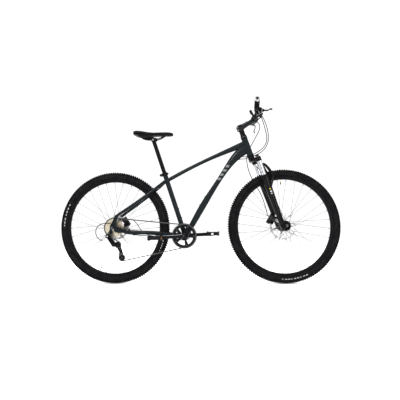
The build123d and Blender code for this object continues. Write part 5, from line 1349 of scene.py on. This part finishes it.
def build_saddle():
    shape = Shape("saddle_skin")
    rings = []
    for x, half, top, low, sag in SADDLE_STATIONS:
        ring = []
        rise = top - low
        for k in range(48):
            angle = 2 * pi * k / 48
            c, s = cos(angle), sin(angle)
            y = half * (abs(c) ** 0.80) * (1 if c >= 0 else -1)
            if s >= 0:
                z = low + rise * 0.34 + rise * 0.66 * abs(s) ** 0.92
                z -= sag * max(0.0, 1 - (y / (half * 0.34 + 4)) ** 2) ** 2
            else:
                z = low + rise * 0.34 * (1 - abs(s) ** 0.5)
            ring.append(rear_at(x, z, y))
        rings.append(ring)
    section_loft(shape, rings)
    cover = shape.build("saddle_cover", "saddle", ROW, ("saddle_cover",), keep_angle=80)
    finer = cover.modifiers.new("finer", "SUBSURF")
    finer.levels = 1
    finer.render_levels = 2
    seams = Shape("black_plastic")
    for side in (-1, 1):
        line = []
        for x, half, top, low, _ in SADDLE_STATIONS[1:-2]:
            rise = top - low
            angle = radians(38)
            y = half * cos(angle) ** 0.80
            z = low + rise * 0.34 + rise * 0.66 * sin(angle) ** 0.92
            line.append(rear_at(x, z + 0.1, side * y))
        sweep(seams, smooth_route(line, 5.0), 0.8, "black_plastic", 8)
    seams.build("saddle_piping", "saddle")
    rails = Shape("black_metal")
    for side in (-1, 1):
        y = side * 22.0
        level = SADDLE_PIVOT.z + 14.0
        route = [
            rear_at(344, 978.5, side * 11), rear_at(322, 967, side * 16), rear_at(298, level, y),
            rear_at(266, level, y), rear_at(226, level, y), rear_at(194, 967, side * 30),
            rear_at(172, 981.5, side * 33),
        ]
        sweep(rails, smooth_route(route, 4.0), 3.5, "black_metal", 20)
        brick(rails, plane_at(SADDLE_PIVOT + Vector((-1, side * 22, 16.5)), (1, 0, 0), (0, 0, 1)),
            (42, 10, 8.5), "black_metal")
        brick(rails, plane_at(SADDLE_PIVOT + Vector((-1, side * 22.2, 8)), (1, 0, 0), (0, 0, 1)),
            (40, 9.6, 9.0), "black_metal")
        bolt(rails, SADDLE_PIVOT + Vector((-1, side * 26.8, 8)), SIDE * side, 5.0, 3.6)
    top_plate = plane_at(SADDLE_PIVOT + Vector((-1, 0, 18.4)), (1, 0, 0), (0, 0, 1))
    brick(rails, top_plate, (38, 44, 3.2), "black_metal")
    rails.build("saddle_rails", "saddle", ROW, ("saddle_rails",), bevel=0.6)


# ---------------------------------------------------------------- lines
LINES = {
    "shift_housing": (
        (124.5, -122.4, 716), (130, -105, 708), (136, -78, 685), (140, -54, 646), (140, -32, 602),
        (132, -8, 562),
        (108, 16, 535), (74, 31, 521),
    ),
    "rear_brake_hose": (
        (127.0, -126.9, 730.2), (133, -105, 727), (146, -76, 706), (155, -52, 662), (156, -28, 612),
        (145, 4, 560),
        (118, 26, 527), (80, 40, 509),
    ),
    "front_brake_hose": (
        (127.0, 126.9, 730.2), (134, 110, 728), (146, 88, 712), (144, 68, 684), (122, 54, 651),
        (84, 46, 616),
        (44, 45, 580), (8, 48, 546), (-18, 53, 506), (-30, 55, 460), (-34, 56, 414), (-31, 57, 364),
        (-22, 60, 314),
        (-12, 65, 264), (-8, 67, 214), (-10, 66, 166), (-14, 62, 132), (-17, 54, 110), (-15.8, 47, 94),
    ),
}
HEAD_PART = {
    "shift_housing": ((38, 34, 515), (0, 34, 514), (-34, 30.5, 515)),
    "rear_brake_hose": ((38, 43, 504), (-4, 42, 503), (-40, 36, 504)),
    "front_brake_hose": (),
}
# Distance from the rear axle, height, distance to the left.
FRAME_PART = {
    "shift_housing": (
        (846, 833, 25.5), (809, 817, 23), (771, 785, 22.8), (712.8, 700, 22.8), (654.5, 614.9, 22.9),
        (584.2, 499.5, 23.6), (541.2, 428.9, 24.2), (513.6, 383.9, 24.6), (505, 361, 24.5), (504, 338, 20.5),
        (504, 316, 11), (494, 297, 1), (473, 288.5, -11), (446, 288, -23), (425, 293, -30),
        (403, 298, -35), (352, 303, -43), (295, 312, -53), (235, 317.5, -60), (175, 323, -66.5),
        (122, 331, -75),
        (76, 349, -80.5), (36, 377, -82), (-6, 398, -83), (-52, 403, -84), (-92, 383, -84.5),
        (-106, 346, -84),
        (-96, 312, -83), (-77, 296, -82), (-60.5, 290, -82),
    ),
    "rear_brake_hose": (
        (839, 815, 30), (808, 801, 25.5), (777, 774, 23.2), (718.8, 696, 22.8), (660.7, 611, 22.9),
        (590.4, 495.7, 23.6), (547.4, 425.1, 24.2), (519.8, 380.1, 25), (508, 350, 26.5), (504, 324, 27.5),
        (496, 299, 28.5), (475, 286, 29.5), (444, 285, 31),
        (402, 295, 36), (352, 301, 43), (297, 308, 53), (240, 313, 62), (192, 326, 73), (160, 352, 75),
        (140, 386, 68), (118, 414, 62), (98, 428, 58),
    ),
    "front_brake_hose": (),
}


def build_lines():
    for name, steered in LINES.items():
        points = [STEERED @ Vector(p) for p in steered]
        points += [STRAIGHT @ Vector(p) for p in HEAD_PART[name]]
        points += [rear_at(x, z, y) for x, z, y in FRAME_PART[name]]
        route = smooth_route(points, 3.0)
        shape = Shape("hose_black")
        sweep(shape, route, 2.5, None, 14)
        line = shape.build(name, None, ROW, (name,))
        if name == "front_brake_hose":
            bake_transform(line)
        else:
            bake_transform(line)


# ---------------------------------------------------------------- frame details on the CAD nodes
def tree_of(*names):
    """A tree for finding the surface of CAD nodes at rest, in millimetres."""
    verts, faces = [], []
    for name in names:
        mesh = NODES[name].data
        base = len(verts)
        verts.extend(v.co / MM for v in mesh.vertices)
        faces.extend([base + i for i in polygon.vertices] for polygon in mesh.polygons)
    return BVHTree.FromPolygons(verts, faces)


def weld_bead(shape, target, start, towards, half_u, half_v, bead=1.7):
    """A rippled bead where a tube that runs from start towards a target meets its surface."""
    u, v = side_axes(towards)
    ring = []
    steps = 120
    for k in range(steps):
        angle = 2 * pi * k / steps
        origin = Vector(start) + u * (half_u * cos(angle)) + v * (half_v * sin(angle))
        hit = target.ray_cast(origin, Vector(towards).normalized())[0]
        if hit is None:
            continue
        ring.append(hit)
    if len(ring) < steps * 0.75:
        return
    smooth = [(a + b * 2 + c) / 4 for a, b, c in zip([ring[-1]] + ring[:-1], ring, ring[1:] + ring[:1])]
    radii = [bead * (1.0 + 0.16 * sin(2 * pi * i / 4.0)) for i in range(len(smooth))]
    sweep(shape, smooth, radii, "frame_paint", 10, cyclic=True)


def paint_nodes():
    """Finishes for the CAD nodes that are shown as they are."""
    finishes = {
        "head_tube": "frame_paint", "top_tube": "frame_paint", "down_tube": "down_tube_paint",
        "seat_tube": "frame_paint", "bottom_bracket_shell": "frame_paint", "rear_triangle": "frame_paint",
        "headset": "black_metal", "bottom_bracket": "black_metal", "seat_clamp": "black_metal",
        "seat_clamp_lever": "black_metal", "seatpost": "black_metal", "rear_axle": "grey_metal",
        "front_axle": "grey_metal", "rear_axle_lever": "black_metal", "front_axle_lever": "black_metal",
        "rear_caliper": "black_gloss", "front_caliper": "black_gloss", "saddle_base": "black_plastic",
        "crank_spindle": "silver", "pedal_axles": "silver", "cable_clips": "black_plastic",
        "front_spokes": "spoke_steel", "rear_spokes": "spoke_steel",
    }
    for name, finish in finishes.items():
        node = NODES[name]
        mesh = node.data
        mesh.materials.clear()
        mesh.materials.append(MATERIALS[finish])
        mesh.polygons.foreach_set("material_index", [0] * len(mesh.polygons))
        mesh.shade_smooth()
        mesh.set_sharp_from_angle(angle=radians(30))
        mesh.update()


def masked_paint(name, masks, colour):
    """Frame paint with plain pale bars; each mask is (axis, low, high) limits in the row frame, in metres."""
    made = MATERIALS["frame_paint"].copy()
    made.name = name
    tree = made.node_tree
    shader = tree.nodes["Principled BSDF"]
    coordinates = tree.nodes.new("ShaderNodeTexCoord")
    total = None
    for bar in masks:
        share = None
        for direction, low, high in bar:
            reach = tree.nodes.new("ShaderNodeVectorMath")
            reach.operation = "DOT_PRODUCT"
            reach.inputs[1].default_value = direction
            tree.links.new(coordinates.outputs["Object"], reach.inputs[0])
            for limit, test in ((low, "GREATER_THAN"), (high, "LESS_THAN")):
                step = tree.nodes.new("ShaderNodeMath")
                step.operation = test
                step.inputs[1].default_value = limit
                tree.links.new(reach.outputs["Value"], step.inputs[0])
                if share is None:
                    share = step
                    continue
                both = tree.nodes.new("ShaderNodeMath")
                both.operation = "MULTIPLY"
                tree.links.new(share.outputs[0], both.inputs[0])
                tree.links.new(step.outputs[0], both.inputs[1])
                share = both
        if total is None:
            total = share
            continue
        either = tree.nodes.new("ShaderNodeMath")
        either.operation = "MAXIMUM"
        tree.links.new(total.outputs[0], either.inputs[0])
        tree.links.new(share.outputs[0], either.inputs[1])
        total = either
    mix = tree.nodes.new("ShaderNodeMix")
    mix.data_type = "RGBA"
    tree.links.new(shader.inputs["Base Color"].links[0].from_socket, mix.inputs["A"])
    mix.inputs["B"].default_value = (*colour, 1)
    tree.links.new(total.outputs[0], mix.inputs["Factor"])
    tree.links.new(mix.outputs["Result"], shader.inputs["Base Color"])
    MATERIALS[name] = made


DOWN_TOP = rear_at(828.0, 822.0)
DOWN_LOW = rear_at(520.0, 345.0)


def make_frame_paint():
    """Four plain slanted bars on the flanks of the down tube."""
    mark_low, mark_high = rear_at(697.0, 677.0), rear_at(767.0, 779.0)
    along = (mark_high - mark_low).normalized()
    across = Vector((-along.z, 0, along.x))
    middle = mark_low.dot(across) * MM
    slant = (along * 0.94 + across * 0.34).normalized()
    slant_low = mark_low.dot(slant) * MM
    bars = []
    for k in range(4):
        low = slant_low + 0.031 * k
        bars.append([(tuple(slant), low, low + 0.017), (tuple(across), middle - 0.010, middle + 0.010)])
    masked_paint("down_tube_paint", bars, (0.105, 0.11, 0.11))


def build_frame_details():
    """Weld beads, the pale ring at the headset and the bottle bosses."""
    beads = Shape("frame_paint")
    head = tree_of("head_tube")
    seat = tree_of("seat_tube")
    shell = tree_of("bottom_bracket_shell")
    top_front = STRAIGHT @ Vector((0, 0, 610))
    top_rear = BB + SEAT_DIR * 405.0
    reach = top_front - top_rear
    weld_bead(beads, head, top_rear + reach * 0.8, reach, 17.5, 21.0)
    weld_bead(beads, seat, top_rear + reach * 0.2, -reach, 15.0, 15.0)
    down = DOWN_TOP - DOWN_LOW
    weld_bead(beads, head, DOWN_LOW + down * 0.8, down, 23.0, 26.0)
    weld_bead(beads, shell, DOWN_LOW + down * 0.2, -down, 21.0, 22.0)
    weld_bead(beads, shell, BB + SEAT_DIR * 100, -SEAT_DIR, 16.4, 16.4)
    if beads.verts:
        beads.build("weld_beads", "frame")
    rings = Shape("grey_metal")
    spin(
        rings, STRAIGHT @ Vector((0, 0, 0)), STEER_DIR,
        [(20.4, 633.6), (21.6, 634.2), (21.6, 638.0), (20.4, 638.4)], "grey_metal", 64, closed=True,
    )
    rings.build("headset_ring", "frame")
    bosses = Shape("black_metal")
    for along in (120.0, 184.0):
        centre = BB + SEAT_DIR * along
        ahead = Vector((sin(SEAT_ANGLE), 0, cos(SEAT_ANGLE)))
        bolt(bosses, centre + ahead * 15.6, ahead, 4.2, 3.0, "black_metal")
    down_dir = down.normalized()
    upper = Vector((-down_dir.z, 0, down_dir.x))
    tube = tree_of("down_tube")
    for share in (0.30, 0.30 + 64.0 / down.length):
        centre = DOWN_LOW + down * share
        hit = tube.ray_cast(centre + upper * 80, -upper)[0]
        if hit is not None:
            bolt(bosses, hit - upper * 0.4, upper, 4.2, 3.0, "black_metal")
    bosses.build("bottle_bosses", "frame")


FRONT_CALIPER_ANGLE, REAR_CALIPER_ANGLE = 130, 33


def build_brake_details():
    """Bolts, hose unions and pad pins on the two calipers."""
    front = radians(FRONT_CALIPER_ANGLE)
    out = Vector((cos(front), 0, sin(front)))
    tangent = Vector((-sin(front), 0, cos(front)))
    centre = Vector((FORK_OFFSET, 0, 0)) + out * (FRONT_ROTOR_R - 8)
    shape = Shape("silver")
    for reach in (-24.0, 24.0):
        point = centre + out * 10 + tangent * reach
        bolt(shape, point + SIDE * 56, SIDE, 4.0, 3.4)
    bolt(shape, centre - tangent * 14 + SIDE * 52.6, SIDE, 4.6, 2.4, "grey_metal")
    rod(shape, centre + tangent * 10 + SIDE * 52.6, centre + tangent * 10 + SIDE * 54.4, 8.0,
        finish="grey_metal", sides=32)
    rod(shape, Vector((-15.8, 47, 96)), Vector((-13.0, 47, 88)), 3.6, 4.6, "black_metal", 24)
    shape.build("front_caliper_bolts", "fork_lowers", STEERED)
    rear = radians(REAR_CALIPER_ANGLE)
    out = Vector((cos(rear), 0, sin(rear)))
    tangent = Vector((-sin(rear), 0, cos(rear)))
    centre = REAR_AXLE + out * (REAR_ROTOR_R - 8)
    shape = Shape("silver")
    for reach in (-24.0, 24.0):
        point = centre + out * 13 + tangent * reach
        bolt(shape, point + SIDE * 66.4, SIDE, 4.0, 3.4)
    rod(shape, centre + tangent * 10 + SIDE * 65.5, centre + tangent * 10 + SIDE * 67.2, 8.0,
        finish="grey_metal", sides=32)
    shape.build("rear_caliper_bolts", "frame")


# ---------------------------------------------------------------- floor, lights, camera
def build_stage():
    bpy.context.scene.view_settings.view_transform = "Standard"
    floor_mesh = bpy.data.meshes.new("floor")
    half = 40.0
    floor_mesh.from_pydata([(-half, -half, 0), (half, -half, 0), (half, half, 0), (-half, half, 0)], [],
        [(0, 1, 2, 3)])
    material("floor_pale", (0.95, 0.95, 0.95), 0.85, Specular_IOR_Level=0.2)
    floor_mesh.materials.append(MATERIALS["floor_pale"])
    floor = bpy.data.objects.new("floor", floor_mesh)
    bpy.context.scene.collection.objects.link(floor)
    world = bpy.data.worlds.new("studio")
    bpy.context.scene.world = world
    world.use_nodes = True
    world.node_tree.nodes["Background"].inputs["Color"].default_value = (1, 1, 1, 1)
    world.node_tree.nodes["Background"].inputs["Strength"].default_value = 1.12
    for name, place, aim, size, power in (
        ("key", (-1.6, -3.2, 3.2), (0.1, 0, 0.5), 1.0, 230),
        ("fill", (2.8, -3.0, 1.6), (0.2, 0, 0.5), 1.2, 60),
        ("back", (0.4, 3.0, 3.0), (0.0, 0, 0.5), 2.4, 90),
        ("top", (0.1, -0.2, 4.2), (0.1, 0, 0.4), 2.6, 110),
    ):
        data = bpy.data.lights.new(name, "AREA")
        data.size = size
        data.energy = power
        lamp = bpy.data.objects.new(name, data)
        lamp.location = place
        lamp.rotation_mode = "QUATERNION"
        lamp.rotation_quaternion = (Vector(aim) - Vector(place)).to_track_quat("-Z", "Y")
        bpy.context.scene.collection.objects.link(lamp)


def build_camera():
    """A long lens level with the wheels, on the drive side, turned a little towards the rear wheel."""
    yaw, pitch, roll = -0.09228, 0.03722, -0.01242
    forward = Vector((sin(yaw) * cos(pitch), cos(yaw) * cos(pitch), sin(pitch)))
    right = Vector((cos(yaw), -sin(yaw), 0))
    up = right.cross(forward)
    right_rolled = right * cos(roll) + up * sin(roll)
    up_rolled = up * cos(roll) - right * sin(roll)
    data = bpy.data.cameras.new("camera")
    data.sensor_width = 36.0
    data.lens = 42.49
    data.clip_end = 200
    camera = bpy.data.objects.new("camera", data)
    location = Vector((387.4, -3097.9, 432.5)) * MM
    columns = (right_rolled, up_rolled, -forward, location)
    camera.matrix_world = Matrix([[column[i] for column in columns] for i in range(3)] + [[0, 0, 0, 1]])
    bpy.context.scene.collection.objects.link(camera)
    bpy.context.scene.camera = camera


make_materials()
make_frame_paint()
paint_nodes()
build_wheels()
build_cassette()
build_pulleys()
build_chain()
build_crank()
build_pedals()
build_derailleur()
build_crown()
build_knob()
build_stanchions()
build_lowers()
build_bar()
build_stem()
build_spacers()
build_grips()
build_levers()
build_shifter()
build_saddle()
build_lines()
build_frame_details()
build_brake_details()
build_stage()
build_camera()
